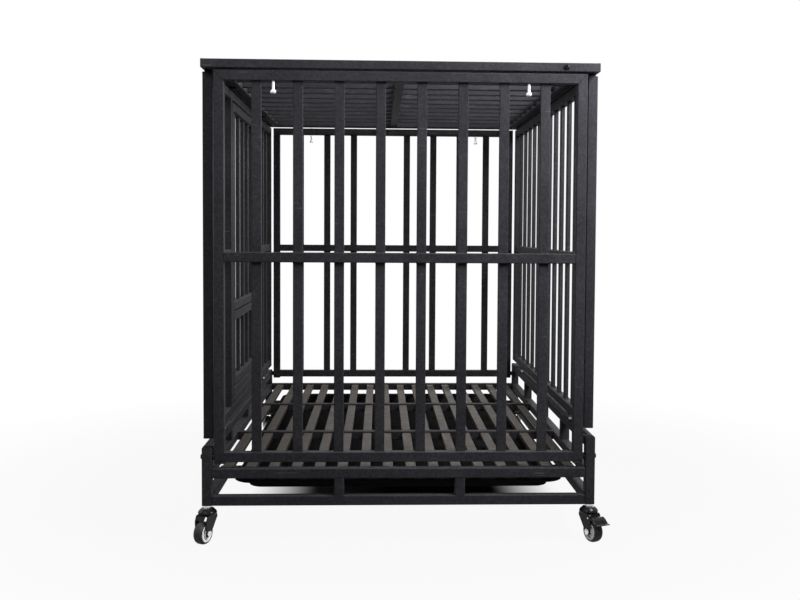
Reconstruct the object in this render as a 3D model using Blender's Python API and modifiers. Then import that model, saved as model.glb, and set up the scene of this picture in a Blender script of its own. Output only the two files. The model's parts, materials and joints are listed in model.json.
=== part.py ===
"""Folding dog crate on casters: square-tube base, four folding panels, side door with a feeder
door in it, opening lid in a lift-off top frame, slide-out tray. Metres, +Z up, origin on the
floor under the middle. Front is -Y and the door side is -X."""

import math

import bmesh
import bpy
from mathutils import Matrix, Vector

# Overall size
WIDTH = 0.760
LENGTH = 1.064
BODY_HEIGHT = 0.8527
CASTER_HEIGHT = 0.072

# Stock sizes
TUBE = 0.019
TUBE_EDGE = 0.0012
TOP_THICKNESS = 0.017
BAR_WIDTH = 0.0188
BAR_THICKNESS = 0.008
SLAT_WIDTH = 0.020
SLAT_THICKNESS = 0.010

# Clearances
SEAT_GAP = 0.0003
BORE_GAP = 0.0003
WELD_DEPTH = 0.003
WELD_INSET = 0.0002
SURFACE_WELD = 0.0005
PLATE_WELD = 0.0006
CUT_PAST = 0.01
BORE_PAST = 0.001
MERGE_DISTANCE = 0.000002
STACK_GAP = 0.0005

# Base
TRAY_SLOT = 0.034
LEFT_POST_HEIGHT = 0.1127
BASE_STRUT_SPREAD = 0.234
SLAT_PITCH = 0.0447
SLAT_DROP = 0.0025
CROSS_TUBE_RISE = 0.0005
RUNNER_WIDTH = 0.025
RUNNER_THICKNESS = 0.003
RUNNER_INSET = 0.222

# Tray
TRAY_SIDE_MARGIN = 0.056
TRAY_END_MARGIN = 0.027
TRAY_DEPTH = 0.0205
TRAY_WALL = 0.002
TRAY_RIM = 0.022
TRAY_CORNER = 0.040
TRAY_DRAFT = 0.004
TRAY_RIM_SLOPE = 0.002
TRAY_LIP = 0.002
TRAY_LIP_DROP = 0.006
TRAY_CORNER_STEPS = 4

# End panels
END_SIDE_GAP = 0.0053
END_TOP_GAP = 0.0038
END_MID_HEIGHT = 0.4688
END_BAR_PITCH = 0.0788
FRONT_AXIS_RISE = 0.022
BACK_AXIS_STEP = 0.0087
STILE_FOOT = 0.003

# Side panels
SIDE_END_GAP = 0.002
SIDE_TOP_GAP = 0.0045
SIDE_MID_HEIGHT = 0.469
SIDE_BAR_PITCH = 0.079
HINGE_CLEAR = 0.0134
HINGE_RADIUS = 0.0045
HINGE_KNUCKLE = 0.020
HINGE_INSET = 0.187
HINGE_PIN_RADIUS = 0.002
HINGE_PIN_LIP = 0.0012
HINGE_WEB_SHARE = 0.85

# Door and feeder door
DOORWAY_LENGTH = 0.510
DOOR_GAP = 0.003
DOOR_MID_HEIGHT = 0.352
DOOR_BOTTOM_RAIL = 0.033
DOOR_BAR_PITCH = 0.074
DOOR_KNUCKLE = 0.016
DOOR_BARREL = 0.004
DOOR_BARREL_OFFSET = 0.0045
DOOR_PIN_RADIUS = 0.0018
DOOR_PIN_LIP = 0.001
DOOR_HINGE_INSET = 0.10555
DOOR_LEAF_WIDTH = 0.012
DOOR_LEAF_THICKNESS = 0.002
DOOR_LEAF_START = 0.0005
FEEDER_HINGE_INSET = 0.097
LATCH_HEIGHT = 0.440
LATCH_BOLT_RADIUS = 0.003
LATCH_STANDOFF = 0.0055
LATCH_BLOCK = 0.011
LATCH_KEEPER_LENGTH = 0.009
LATCH_TRAVEL = 0.012
LATCH_SETBACK = 0.001
LATCH_FINGER = 0.005
LATCH_FINGER_REACH = 0.013
LATCH_FINGER_THICKNESS = 0.003
LATCH_PLATE_LIP = 0.001

# Top frame and lid
LID_GAP = 0.002
LID_SLAT_PITCH = 0.082
LID_PIVOT_INSET = 0.0646
LID_LUG_REACH = 0.012
LID_LUG_THICKNESS = 0.003
LID_LUG_LENGTH = 0.024
LID_LUG_HOLD = 0.014
LID_LUG_INSET = 0.002
LID_RIB_INSET = 0.0016
SEAT_PAD_LENGTH = 0.014
SEAT_PAD_WIDTH = 0.012
SEAT_PAD_INSET = 0.003

# Bolts and lock pins
BOLT_RADIUS = 0.003
BOLT_HEAD_RADIUS = 0.0052
BOLT_HEAD_HEIGHT = 0.003
BOLT_DOME_SHARE = 0.75
BOLT_RIM_SHARE = 0.55
BOLT_TIP_SETBACK = 0.0045
SPACER_RADIUS = 0.0065
LOCK_PIN_INSET = 0.136
LOCK_PIN_RADIUS = 0.0028
LOCK_HEAD_RADIUS = 0.0058
LOCK_HEAD_HEIGHT = 0.0067
LOCK_TIP_TAPER = 0.0015
LOCK_TIP_SHARE = 0.6
# Radius and height shares of the lock pin's head, from its top down
LOCK_HEAD_PROFILE = ((0.8, 0.0), (1.0, 0.25), (1.0, 0.7), (0.7, 1.0))
LOCK_PIN_DROP = 0.0165
LOCK_TIP_GAP = 0.0022
LOCK_TRAVEL = 0.015

# Casters
WHEEL_RADIUS = 0.0215
WHEEL_WIDTH = 0.019
TREAD_EDGE = 0.003
TREAD_SHOULDER = 0.0042
HUB_RADIUS = 0.0145
HUB_RECESS = 0.002
HUB_BOSS = 0.001
HUB_BOSS_WALL = 0.0035
AXLE_RADIUS = 0.004
AXLE_REACH = 0.0035
AXLE_NUT_RADIUS = 0.0062
AXLE_NUT_HEIGHT = 0.0025
CASTER_TRAIL = 0.015
CASTER_TURN = math.radians(24)
FORK_PLATE = 0.002
FORK_SIDE_GAP = 0.002
FORK_HEAD_RADIUS = 0.0185
FORK_HEAD_HEIGHT = 0.014
# Radius and height shares of the turned fork head, from its top down
FORK_HEAD_PROFILE = ((0.62, 1.0), (0.80, 0.80), (0.97, 0.55), (1.0, 0.32), (0.90, 0.14), (0.66, 0.0))
FORK_CROWN_FRONT = -0.0125
FORK_CROWN_BACK = 0.0175
FORK_CROWN_THICKNESS = 0.0025
FORK_TIP_RADIUS = 0.0075
# The fork leg's upper corners: along the fork, and above the head's underside
FORK_LEG_CORNERS = ((0.0235, -0.008), (0.0185, 0.003), (-0.013, 0.003), (-0.0145, -0.004))
STEM_RADIUS = 0.005
STEM_NUT_RADIUS = 0.008
STEM_NUT_HEIGHT = 0.0055
STEM_FOOT_LIP = 0.0018
STEM_FOOT_GAP = 0.001
PEDAL_WIDTH = 0.030
PEDAL_PIVOT_OUT = 0.0165
PEDAL_PIVOT_DROP = 0.004
PEDAL_PIN_RADIUS = 0.0016
PEDAL_PIN_END = 0.0008
PEDAL_ARM_GAP = 0.001
# The pedal's side view: out from its pin, and down from the fork head's underside
PEDAL_OUTLINE = (
    (0.009, 0.0005), (0.018, 0.0035), (0.0265, 0.0110), (0.0325, 0.0105),
    (0.0330, 0.0125), (0.0260, 0.0140), (0.018, 0.0070), (0.009, 0.0050),
)
PEDAL_ARM_LOW = (-0.0030, -0.0025)
PEDAL_ARM_HIGH = (0.0125, 0.0027)
SHOE_LOW = (0.0005, -0.0043)
SHOE_HIGH = (0.0065, -0.001)
SHOE_WIDTH = 0.008
BRAKED = ("front_right", "back_left")

# Facets round a turned piece
ROUND_STEPS = 14
SMALL_STEPS = 10
PIN_STEPS = 8
NUT_STEPS = 6
WHEEL_STEPS = 20

# Heights above the floor, from the sizes above
BASE_Z = CASTER_HEIGHT
LOWER_RAIL_TOP = BASE_Z + TUBE
FLOOR_RAIL_BOTTOM = LOWER_RAIL_TOP + TRAY_SLOT
FLOOR_RAIL_TOP = FLOOR_RAIL_BOTTOM + TUBE
POST_TOP = {
    "left": BASE_Z + LEFT_POST_HEIGHT,
    "right": BASE_Z + LEFT_POST_HEIGHT + TUBE + STACK_GAP,
}
HINGE_Z = {side: top + HINGE_CLEAR / 2 for side, top in POST_TOP.items()}
SIDE_BOTTOM = {side: top + HINGE_CLEAR for side, top in POST_TOP.items()}
TOP_Z = BASE_Z + BODY_HEIGHT
TOP_UNDERSIDE = TOP_Z - TOP_THICKNESS
SIDE_TOP = TOP_UNDERSIDE - SIDE_TOP_GAP
END_TOP = TOP_UNDERSIDE - END_TOP_GAP
END_AXIS_Z = {
    "front": FLOOR_RAIL_TOP + FRONT_AXIS_RISE,
    "back": FLOOR_RAIL_TOP + FRONT_AXIS_RISE + BACK_AXIS_STEP,
}

# Places across and along the crate
X_OUT = WIDTH / 2
X_IN = X_OUT - TUBE
Y_OUT = LENGTH / 2
Y_IN = Y_OUT - TUBE
END_X_OUT = X_IN - END_SIDE_GAP
END_Y = Y_OUT - TUBE / 2
SIDE_Y_OUT = Y_IN - SIDE_END_GAP
SIDE_X = X_OUT - TUBE / 2
RUNNER_SPREAD = LENGTH - 2 * RUNNER_INSET
HINGE_SPREAD = LENGTH - 2 * HINGE_INSET
FEEDER_HINGE_SPREAD = DOORWAY_LENGTH - 2 * FEEDER_HINGE_INSET
LOCK_PIN_SPREAD = WIDTH - 2 * LOCK_PIN_INSET
FORK_HEAD_LOW = CASTER_HEIGHT - STEM_NUT_HEIGHT - FORK_HEAD_HEIGHT
FORK_OUT = WHEEL_WIDTH / 2 + FORK_SIDE_GAP + FORK_PLATE
SIGN = {"left": -1, "right": 1, "front": -1, "back": 1}

PARTS = None
CUTTERS = None


def clear_scene():
    for obj in list(bpy.data.objects):
        bpy.data.objects.remove(obj, do_unlink=True)


def new_collection(name):
    collection = bpy.data.collections.new(name)
    bpy.context.scene.collection.children.link(collection)
    return collection


def principled(name, colour, roughness, metallic):
    material = bpy.data.materials.new(name)
    material.use_nodes = True
    shader = material.node_tree.nodes["Principled BSDF"]
    shader.inputs["Base Color"].default_value = (*colour, 1.0)
    shader.inputs["Roughness"].default_value = roughness
    shader.inputs["Metallic"].default_value = metallic
    material.diffuse_color = (*colour, 1.0)
    return material


def add_box(bm, low, high):
    """A box between two opposite corners."""
    low, high = Vector(low), Vector(high)
    size = high - low
    place = Matrix.Translation((low + high) / 2) @ Matrix.Diagonal((*size, 1.0))
    bmesh.ops.create_cube(bm, size=1.0, matrix=place)


def add_rod(bm, start, end, radius, steps=SMALL_STEPS):
    """A round bar from one point to another."""
    start, end = Vector(start), Vector(end)
    along = end - start
    turn = along.to_track_quat("Z", "Y").to_matrix().to_4x4()
    bmesh.ops.create_cone(
        bm, cap_ends=True, segments=steps, radius1=radius, radius2=radius,
        depth=along.length, matrix=Matrix.Translation((start + end) / 2) @ turn,
    )


def mesh_from(bm, name, pivot=(0, 0, 0)):
    bmesh.ops.recalc_face_normals(bm, faces=bm.faces)
    mesh = bpy.data.meshes.new(name)
    bmesh.ops.translate(bm, verts=bm.verts, vec=-Vector(pivot))
    bm.to_mesh(mesh)
    bm.free()
    return mesh


def add_part(name, mesh, material, pivot=(0, 0, 0), parent=None):
    """A node of the crate, with its origin at its pivot."""
    if not mesh.materials:
        mesh.materials.append(material)
    obj = bpy.data.objects.new(name, mesh)
    obj.location = pivot
    obj.parent = parent
    PARTS.objects.link(obj)
    return obj


def corners(first, second):
    """The lowest and highest corners of the box between two points."""
    low = Vector([min(a, b) for a, b in zip(first, second)])
    high = Vector([max(a, b) for a, b in zip(first, second)])
    return low, high


def add_cutter(name, bm):
    """A helper for a Boolean, left out of the render."""
    obj = bpy.data.objects.new(name, mesh_from(bm, name))
    obj.hide_render = True
    obj.display_type = "WIRE"
    CUTTERS.objects.link(obj)
    return obj


def combine(obj, helper, operation):
    modifier = obj.modifiers.new(operation.lower() + "_" + helper.name, "BOOLEAN")
    modifier.operation = operation
    modifier.object = helper
    modifier.solver = "EXACT"


def weld_boxes(obj, name, spans):
    """Fuses separate boxes with a part."""
    bm = bmesh.new()
    for low, high in spans:
        add_box(bm, low, high)
    combine(obj, add_cutter(obj.name + "_" + name, bm), "UNION")


def weld_rods(obj, name, rods, steps=SMALL_STEPS):
    bm = bmesh.new()
    for start, end, radius in rods:
        add_rod(bm, start, end, radius, steps)
    combine(obj, add_cutter(obj.name + "_" + name, bm), "UNION")


def drill(obj, name, rods, steps=SMALL_STEPS):
    """Cuts round holes, each from one point to another."""
    bm = bmesh.new()
    for start, end, radius in rods:
        add_rod(bm, start, end, radius, steps)
    combine(obj, add_cutter(obj.name + "_" + name, bm), "DIFFERENCE")


def soften(obj, width=TUBE_EDGE):
    modifier = obj.modifiers.new("rounded_edges", "BEVEL")
    modifier.width = width
    modifier.segments = 1
    modifier.limit_method = "ANGLE"


def smooth(obj):
    obj.data.shade_smooth()
    obj.data.set_sharp_from_angle(angle=math.radians(35))


def rectangle(low, high):
    (u0, v0), (u1, v1) = low, high
    return [(u0, v0), (u1, v0), (u1, v1), (u0, v1)]


def plate_mesh(name, outlines, thickness, edge=TUBE_EDGE):
    """A flat outline with windows, given its thickness and softened edges, as one closed mesh.
    The outline lies in local X and Y and the thickness is centred on local Z."""
    curve = bpy.data.curves.new(name, "CURVE")
    curve.dimensions = "2D"
    curve.fill_mode = "BOTH"
    curve.extrude = thickness / 2 - edge
    curve.bevel_depth = edge
    curve.bevel_resolution = 0
    curve.offset = -edge
    for outline in outlines:
        spline = curve.splines.new("POLY")
        spline.points.add(len(outline) - 1)
        for point, (u, v) in zip(spline.points, outline):
            point.co = (u, v, 0, 1)
        spline.use_cyclic_u = True
    flat = bpy.data.objects.new(name + "_outline", curve)
    PARTS.objects.link(flat)
    graph = bpy.context.evaluated_depsgraph_get()
    mesh = bpy.data.meshes.new_from_object(flat.evaluated_get(graph))
    bpy.data.objects.remove(flat, do_unlink=True)
    bm = bmesh.new()
    bm.from_mesh(mesh)
    bmesh.ops.remove_doubles(bm, verts=bm.verts, dist=MERGE_DISTANCE)
    bmesh.ops.recalc_face_normals(bm, faces=bm.faces)
    bm.to_mesh(mesh)
    bm.free()
    mesh.name = name
    return mesh


# Local X, Y and Z of an outline turned to the crate's axes
FACING_Y = Matrix(((1, 0, 0), (0, 0, -1), (0, 1, 0))).to_4x4()
FACING_X = Matrix(((0, 0, 1), (1, 0, 0), (0, 1, 0))).to_4x4()
FACING_Z = Matrix.Identity(4)


def add_plate(name, outlines, thickness, facing, centre, material, pivot, parent=None):
    """A plate part whose outline is written in crate coordinates, centred through its thickness."""
    mesh = plate_mesh(name, outlines, thickness)
    mesh.transform(Matrix.Translation(-Vector(pivot)) @ Matrix.Translation(centre) @ facing)
    return add_part(name, mesh, material, pivot, parent)


def add_turned(name, profile, material, place, steps=ROUND_STEPS, parent=None):
    """A turned piece: a profile of (radius, height) points from the top down, spun on local Z."""
    mesh = bpy.data.meshes.new(name)
    edges = [(index, index + 1) for index in range(len(profile) - 1)]
    mesh.from_pydata([(radius, 0, height) for radius, height in profile], edges, [])
    obj = add_part(name, mesh, material, (0, 0, 0), parent)
    obj.matrix_local = place
    screw = obj.modifiers.new("turned", "SCREW")
    screw.steps = steps
    screw.render_steps = steps
    screw.use_merge_vertices = True
    screw.merge_threshold = 5 * MERGE_DISTANCE
    screw.use_smooth_shade = True
    return obj


def centred(low, high, pitch):
    """Centres of bars at a fixed pitch, as many as fit, centred between two faces."""
    count = int((high - low) / pitch)
    middle = (low + high) / 2
    return [middle + (index - (count - 1) / 2) * pitch for index in range(count)]


def evenly(low, high, pitch):
    """Centres that divide the space between two faces into equal steps near the pitch."""
    steps = max(2, round((high - low) / pitch))
    return [low + (high - low) * index / steps for index in range(1, steps)]


def corner_name(end, side):
    return f"{end}_{side}"


def post_parts(material):
    """Four corner posts, drilled for the pivot bolts of the end panels."""
    for end in ("front", "back"):
        for side in ("left", "right"):
            outer = (SIGN[side] * X_OUT, SIGN[end] * Y_OUT, BASE_Z)
            inner = (SIGN[side] * X_IN, SIGN[end] * Y_IN, POST_TOP[side])
            bm = bmesh.new()
            add_box(bm, *corners(outer, inner))
            name = "post_" + corner_name(end, side)
            post = add_part(name, mesh_from(bm, name), material)
            soften(post)
            height = END_AXIS_Z[end]
            y = SIGN[end] * END_Y
            drill(post, "bore", [((SIGN[side] * (X_OUT + CUT_PAST), y, height),
                                  (SIGN[side] * (X_IN - CUT_PAST), y, height), BOLT_RADIUS + BORE_GAP)])


def rail_mesh(name, low, high):
    """A straight tube with softened edges between two opposite corners."""
    bm = bmesh.new()
    add_box(bm, low, high)
    bmesh.ops.bevel(bm, geom=bm.edges[:], offset=TUBE_EDGE, segments=1, affect="EDGES")
    return mesh_from(bm, name)


def weld_mesh(obj, name, mesh):
    """Fuses a ready mesh with a part."""
    bm = bmesh.new()
    bm.from_mesh(mesh)
    bpy.data.meshes.remove(mesh)
    combine(obj, add_cutter(obj.name + "_" + name, bm), "UNION")


def end_base_parts(material):
    """Front and back: a lower rail and a floor rail joined by two struts."""
    x_end = X_IN - SEAT_GAP
    for end in ("front", "back"):
        y_low, y_high = SIGN[end] * END_Y - TUBE / 2, SIGN[end] * END_Y + TUBE / 2
        name = end + "_base_frame"
        lower_rail = rail_mesh(name, (-x_end, y_low, BASE_Z), (x_end, y_high, LOWER_RAIL_TOP))
        floor_rail = rail_mesh(name, (-x_end, y_low, FLOOR_RAIL_BOTTOM), (x_end, y_high, FLOOR_RAIL_TOP))
        frame = add_part(name, lower_rail, material)
        weld_boxes(frame, "struts", [
            ((x - TUBE / 2, y_low + WELD_INSET, LOWER_RAIL_TOP - WELD_DEPTH),
             (x + TUBE / 2, y_high - WELD_INSET, FLOOR_RAIL_BOTTOM + WELD_DEPTH))
            for x in (-BASE_STRUT_SPREAD / 2, BASE_STRUT_SPREAD / 2)
        ])
        weld_mesh(frame, "floor_rail", floor_rail)


def side_base_parts(material):
    """Left and right: the floor rail, three struts and the rail that carries the panel's hinges."""
    y_end = Y_IN - SEAT_GAP
    for side in ("left", "right"):
        x_low, x_high = SIGN[side] * SIDE_X - TUBE / 2, SIGN[side] * SIDE_X + TUBE / 2
        hinge_rail_low = POST_TOP[side] - TUBE
        name = side + "_base_frame"
        floor_rail = rail_mesh(name, (x_low, -y_end, FLOOR_RAIL_BOTTOM), (x_high, y_end, FLOOR_RAIL_TOP))
        hinge_rail = rail_mesh(name, (x_low, -y_end, hinge_rail_low), (x_high, y_end, POST_TOP[side]))
        frame = add_part(name, floor_rail, material)
        weld_boxes(frame, "struts", [
            ((x_low + WELD_INSET, y - TUBE / 2, FLOOR_RAIL_TOP - WELD_DEPTH),
             (x_high - WELD_INSET, y + TUBE / 2, hinge_rail_low + WELD_DEPTH))
            for y in (-LENGTH / 4, 0.0, LENGTH / 4)
        ])
        weld_mesh(frame, "hinge_rail", hinge_rail)
        add_side_knuckles(frame, side, "base")
        name = side + "_lower_rail"
        add_part(name, rail_mesh(name, (x_low, -y_end, BASE_Z), (x_high, y_end, LOWER_RAIL_TOP)), material)


def side_hinge_spans(which):
    """Lengths along Y of the knuckles of one half: the base has the two outer ones of each hinge."""
    spans = []
    for middle in (-HINGE_SPREAD / 2, HINGE_SPREAD / 2):
        if which == "base":
            spans.append((middle - 1.5 * HINGE_KNUCKLE, middle - HINGE_KNUCKLE / 2))
            spans.append((middle + HINGE_KNUCKLE / 2, middle + 1.5 * HINGE_KNUCKLE))
        else:
            spans.append((middle - HINGE_KNUCKLE / 2 + SEAT_GAP, middle + HINGE_KNUCKLE / 2 - SEAT_GAP))
    return spans


def add_side_knuckles(obj, side, which):
    """Hinge barrels at the inner face, each on a web welded to its rail, bored for the pin."""
    axis_x = SIGN[side] * X_IN
    web_in = axis_x + SIGN[side] * BORE_GAP
    web_out = axis_x + SIGN[side] * HINGE_RADIUS * HINGE_WEB_SHARE
    if which == "base":
        web_low, web_high = POST_TOP[side] - WELD_DEPTH, HINGE_Z[side]
    else:
        web_low, web_high = HINGE_Z[side], SIDE_BOTTOM[side] + WELD_DEPTH
    spans = side_hinge_spans(which)
    weld_boxes(obj, "webs", [
        corners((web_in, near + BORE_GAP, web_low), (web_out, far - BORE_GAP, web_high))
        for near, far in spans
    ])
    weld_rods(obj, "barrels", [
        ((axis_x, near, HINGE_Z[side]), (axis_x, far, HINGE_Z[side]), HINGE_RADIUS) for near, far in spans
    ])
    drill(obj, "bores", [
        ((axis_x, near - BORE_PAST, HINGE_Z[side]), (axis_x, far + BORE_PAST, HINGE_Z[side]),
         HINGE_PIN_RADIUS + BORE_GAP) for near, far in spans
    ], PIN_STEPS)


def side_hinge_pins(material):
    """Headed pins through the knuckles of the side panels' hinges."""
    profile = hinge_pin_profile(1.5 * HINGE_KNUCKLE + SEAT_GAP, HINGE_PIN_RADIUS, HINGE_PIN_LIP)
    for side in ("left", "right"):
        for end in ("front", "back"):
            middle = (SIGN[side] * X_IN, SIGN[end] * HINGE_SPREAD / 2, HINGE_Z[side])
            place = Matrix.Translation(middle) @ Matrix.Rotation(math.radians(90), 4, "X")
            add_turned(f"{side}_hinge_pin_{end}", profile, material, place, PIN_STEPS)


def floor_grate_part(material):
    """Slats from front to back, welded on two cross tubes."""
    y_end = Y_IN - SEAT_GAP
    x_end = X_IN - SEAT_GAP
    slat_top = FLOOR_RAIL_TOP - SLAT_DROP
    bm = bmesh.new()
    for x in centred(-X_IN, X_IN, SLAT_PITCH):
        low = (x - SLAT_WIDTH / 2, -y_end, slat_top - SLAT_THICKNESS)
        high = (x + SLAT_WIDTH / 2, y_end, slat_top)
        add_box(bm, low, high)
    grate = add_part("floor_grate", mesh_from(bm, "floor_grate"), material)
    tube_top = FLOOR_RAIL_TOP + CROSS_TUBE_RISE
    weld_boxes(grate, "cross_tubes", [
        ((-x_end, y - TUBE / 2, tube_top - TUBE), (x_end, y + TUBE / 2, tube_top))
        for y in (-LENGTH / 6, LENGTH / 6)
    ])


def tray_parts(tray_material, steel):
    """A shallow tray with a flared rim and rounded corners, on two flat runners."""
    runner_low = LOWER_RAIL_TOP + SEAT_GAP
    runner_high = runner_low + RUNNER_THICKNESS
    for end in ("front", "back"):
        middle = SIGN[end] * RUNNER_SPREAD / 2
        name = "tray_runner_" + end
        bm = bmesh.new()
        low = (-X_OUT, middle - RUNNER_WIDTH / 2, runner_low)
        high = (X_OUT, middle + RUNNER_WIDTH / 2, runner_high)
        add_box(bm, low, high)
        add_part(name, mesh_from(bm, name), steel)
    bottom = runner_high + SEAT_GAP
    x_rim = X_OUT - TRAY_SIDE_MARGIN
    y_rim = Y_OUT - TRAY_END_MARGIN
    name = "tray"
    bm = bmesh.new()
    rings = [
        (x_rim - TRAY_RIM - TRAY_DRAFT, y_rim - TRAY_RIM - TRAY_DRAFT, bottom),
        (x_rim - TRAY_RIM, y_rim - TRAY_RIM, bottom + TRAY_DEPTH - TRAY_RIM_SLOPE),
        (x_rim - TRAY_LIP, y_rim - TRAY_LIP, bottom + TRAY_DEPTH - TRAY_RIM_SLOPE / 2),
        (x_rim, y_rim, bottom + TRAY_DEPTH - TRAY_LIP_DROP),
    ]
    loops = []
    for half_x, half_y, height in rings:
        radius = TRAY_CORNER - (x_rim - half_x) * 0.5
        loops.append([bm.verts.new(point) for point in rounded_loop(half_x, half_y, radius, height)])
    bm.faces.new(reversed(loops[0]))
    for lower, upper in zip(loops, loops[1:]):
        for index in range(len(lower)):
            after = (index + 1) % len(lower)
            bm.faces.new((lower[index], lower[after], upper[after], upper[index]))
    tray = add_part(name, mesh_from(bm, name), tray_material)
    shell = tray.modifiers.new("wall", "SOLIDIFY")
    shell.thickness = TRAY_WALL
    shell.offset = 1.0
    shell.use_even_offset = True
    smooth(tray)


def rounded_loop(half_x, half_y, radius, height):
    """Points round a rectangle with rounded corners, anticlockwise seen from above."""
    steps = TRAY_CORNER_STEPS
    points = []
    for number, (sx, sy) in enumerate(((1, -1), (1, 1), (-1, 1), (-1, -1))):
        start = math.radians(-90 + 90 * number)
        for step in range(steps + 1):
            angle = start + math.radians(90) * step / steps
            points.append((sx * (half_x - radius) + radius * math.cos(angle),
                           sy * (half_y - radius) + radius * math.sin(angle), height))
    return points


def end_panel_parts(material):
    """Front and back panels: a tube frame with a mid rail and upright flat bars."""
    for end in ("front", "back"):
        axis_z = END_AXIS_Z[end]
        y = SIGN[end] * END_Y
        rail_low, rail_high = axis_z - TUBE / 2, axis_z + TUBE / 2
        foot = rail_low - STILE_FOOT
        mid_low = BASE_Z + END_MID_HEIGHT
        mid_high = mid_low + TUBE
        inner = END_X_OUT - TUBE
        outline = [
            (-END_X_OUT, foot), (-inner, foot), (-inner, rail_low), (inner, rail_low),
            (inner, foot), (END_X_OUT, foot), (END_X_OUT, END_TOP), (-END_X_OUT, END_TOP),
        ]
        windows = [
            rectangle((-inner, rail_high), (inner, mid_low)),
            rectangle((-inner, mid_high), (inner, END_TOP - TUBE)),
        ]
        pivot = (0, y, axis_z)
        panel = add_plate(end + "_panel", [outline] + windows, TUBE, FACING_Y, (0, y, 0), material, pivot)
        weld_boxes(panel, "bars", [
            ((x - BAR_WIDTH / 2, y - BAR_THICKNESS / 2, rail_high - WELD_DEPTH),
             (x + BAR_WIDTH / 2, y + BAR_THICKNESS / 2, END_TOP - TUBE + WELD_DEPTH))
            for x in centred(-inner, inner, END_BAR_PITCH)
        ])
        drill(panel, "pivot_bores", [
            ((sign * (END_X_OUT + CUT_PAST), y, axis_z), (sign * (inner + WELD_DEPTH), y, axis_z),
             BOLT_RADIUS + BORE_GAP) for sign in (-1, 1)
        ])
        drill(panel, "lock_bores", [
            ((x, y, END_TOP - TUBE - CUT_PAST), (x, y, END_TOP + CUT_PAST), LOCK_PIN_RADIUS + BORE_GAP)
            for x in (-LOCK_PIN_SPREAD / 2, LOCK_PIN_SPREAD / 2)
        ])


def bolt_head_profile():
    """A low domed head, down to where the shank starts."""
    return [
        (0, BOLT_HEAD_HEIGHT), (BOLT_HEAD_RADIUS * BOLT_DOME_SHARE, BOLT_HEAD_HEIGHT),
        (BOLT_HEAD_RADIUS, BOLT_HEAD_HEIGHT * BOLT_RIM_SHARE), (BOLT_HEAD_RADIUS, 0), (BOLT_RADIUS, 0),
    ]


def end_pivot_bolts(material):
    """Bolts through the posts into the end panels, with the spacer between post and panel."""
    stile_reach = TUBE - BOLT_TIP_SETBACK
    for end in ("front", "back"):
        for side in ("left", "right"):
            outer = SIGN[side] * (X_OUT + SEAT_GAP)
            place = (Matrix.Translation((outer, SIGN[end] * END_Y, END_AXIS_Z[end]))
                     @ Matrix.Rotation(SIGN[side] * math.radians(90), 4, "Y"))
            post = TUBE + SEAT_GAP
            spacer_start = -post - SEAT_GAP
            spacer_end = -post - END_SIDE_GAP + SEAT_GAP
            tip = -post - END_SIDE_GAP - stile_reach
            profile = bolt_head_profile() + [
                (BOLT_RADIUS, spacer_start), (SPACER_RADIUS, spacer_start), (SPACER_RADIUS, spacer_end),
                (BOLT_RADIUS, spacer_end), (BOLT_RADIUS, tip), (0, tip),
            ]
            add_turned(f"pivot_bolt_{corner_name(end, side)}", profile, material, place, SMALL_STEPS)


def lock_pins(material):
    """Headed pins that slide up through the end panels' top rails into the top frame."""
    rail_low = END_TOP - TUBE
    tip = TOP_UNDERSIDE - LOCK_TIP_GAP
    head_top = rail_low - LOCK_PIN_DROP
    for end in ("front", "back"):
        for side in ("left", "right"):
            length = tip - head_top
            place = Matrix.Translation((SIGN[side] * LOCK_PIN_SPREAD / 2, SIGN[end] * END_Y, head_top))
            profile = [
                (0, length), (LOCK_PIN_RADIUS * LOCK_TIP_SHARE, length),
                (LOCK_PIN_RADIUS, length - LOCK_TIP_TAPER), (LOCK_PIN_RADIUS, 0),
            ]
            for across, down in LOCK_HEAD_PROFILE:
                profile.append((LOCK_HEAD_RADIUS * across, -LOCK_HEAD_HEIGHT * down))
            profile.append((0, -LOCK_HEAD_HEIGHT))
            add_turned(f"lock_pin_{corner_name(end, side)}", profile, material, place, SMALL_STEPS)


def side_bar_spans(side, low, high, centres):
    """Upright flat bars of a side panel between two rails."""
    near, far = SIGN[side] * SIDE_X - BAR_THICKNESS / 2, SIGN[side] * SIDE_X + BAR_THICKNESS / 2
    return [((near, y - BAR_WIDTH / 2, low), (far, y + BAR_WIDTH / 2, high)) for y in centres]


def right_panel_part(material):
    """The plain side panel: a tube frame with a mid rail and upright flat bars."""
    side = "right"
    inner = SIDE_Y_OUT - TUBE
    rail_high = SIDE_BOTTOM[side] + TUBE
    mid_low = BASE_Z + SIDE_MID_HEIGHT
    mid_high = mid_low + TUBE
    outline = rectangle((-SIDE_Y_OUT, SIDE_BOTTOM[side]), (SIDE_Y_OUT, SIDE_TOP))
    windows = [
        rectangle((-inner, rail_high), (inner, mid_low)),
        rectangle((-inner, mid_high), (inner, SIDE_TOP - TUBE)),
    ]
    pivot = (X_IN, 0, HINGE_Z[side])
    panel = add_plate("right_panel", [outline] + windows, TUBE, FACING_X, (SIDE_X, 0, 0), material, pivot)
    bars = side_bar_spans(side, rail_high - WELD_DEPTH, SIDE_TOP - TUBE + WELD_DEPTH,
                          centred(-inner, inner, SIDE_BAR_PITCH))
    weld_boxes(panel, "bars", bars)
    add_side_knuckles(panel, side, "panel")


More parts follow.
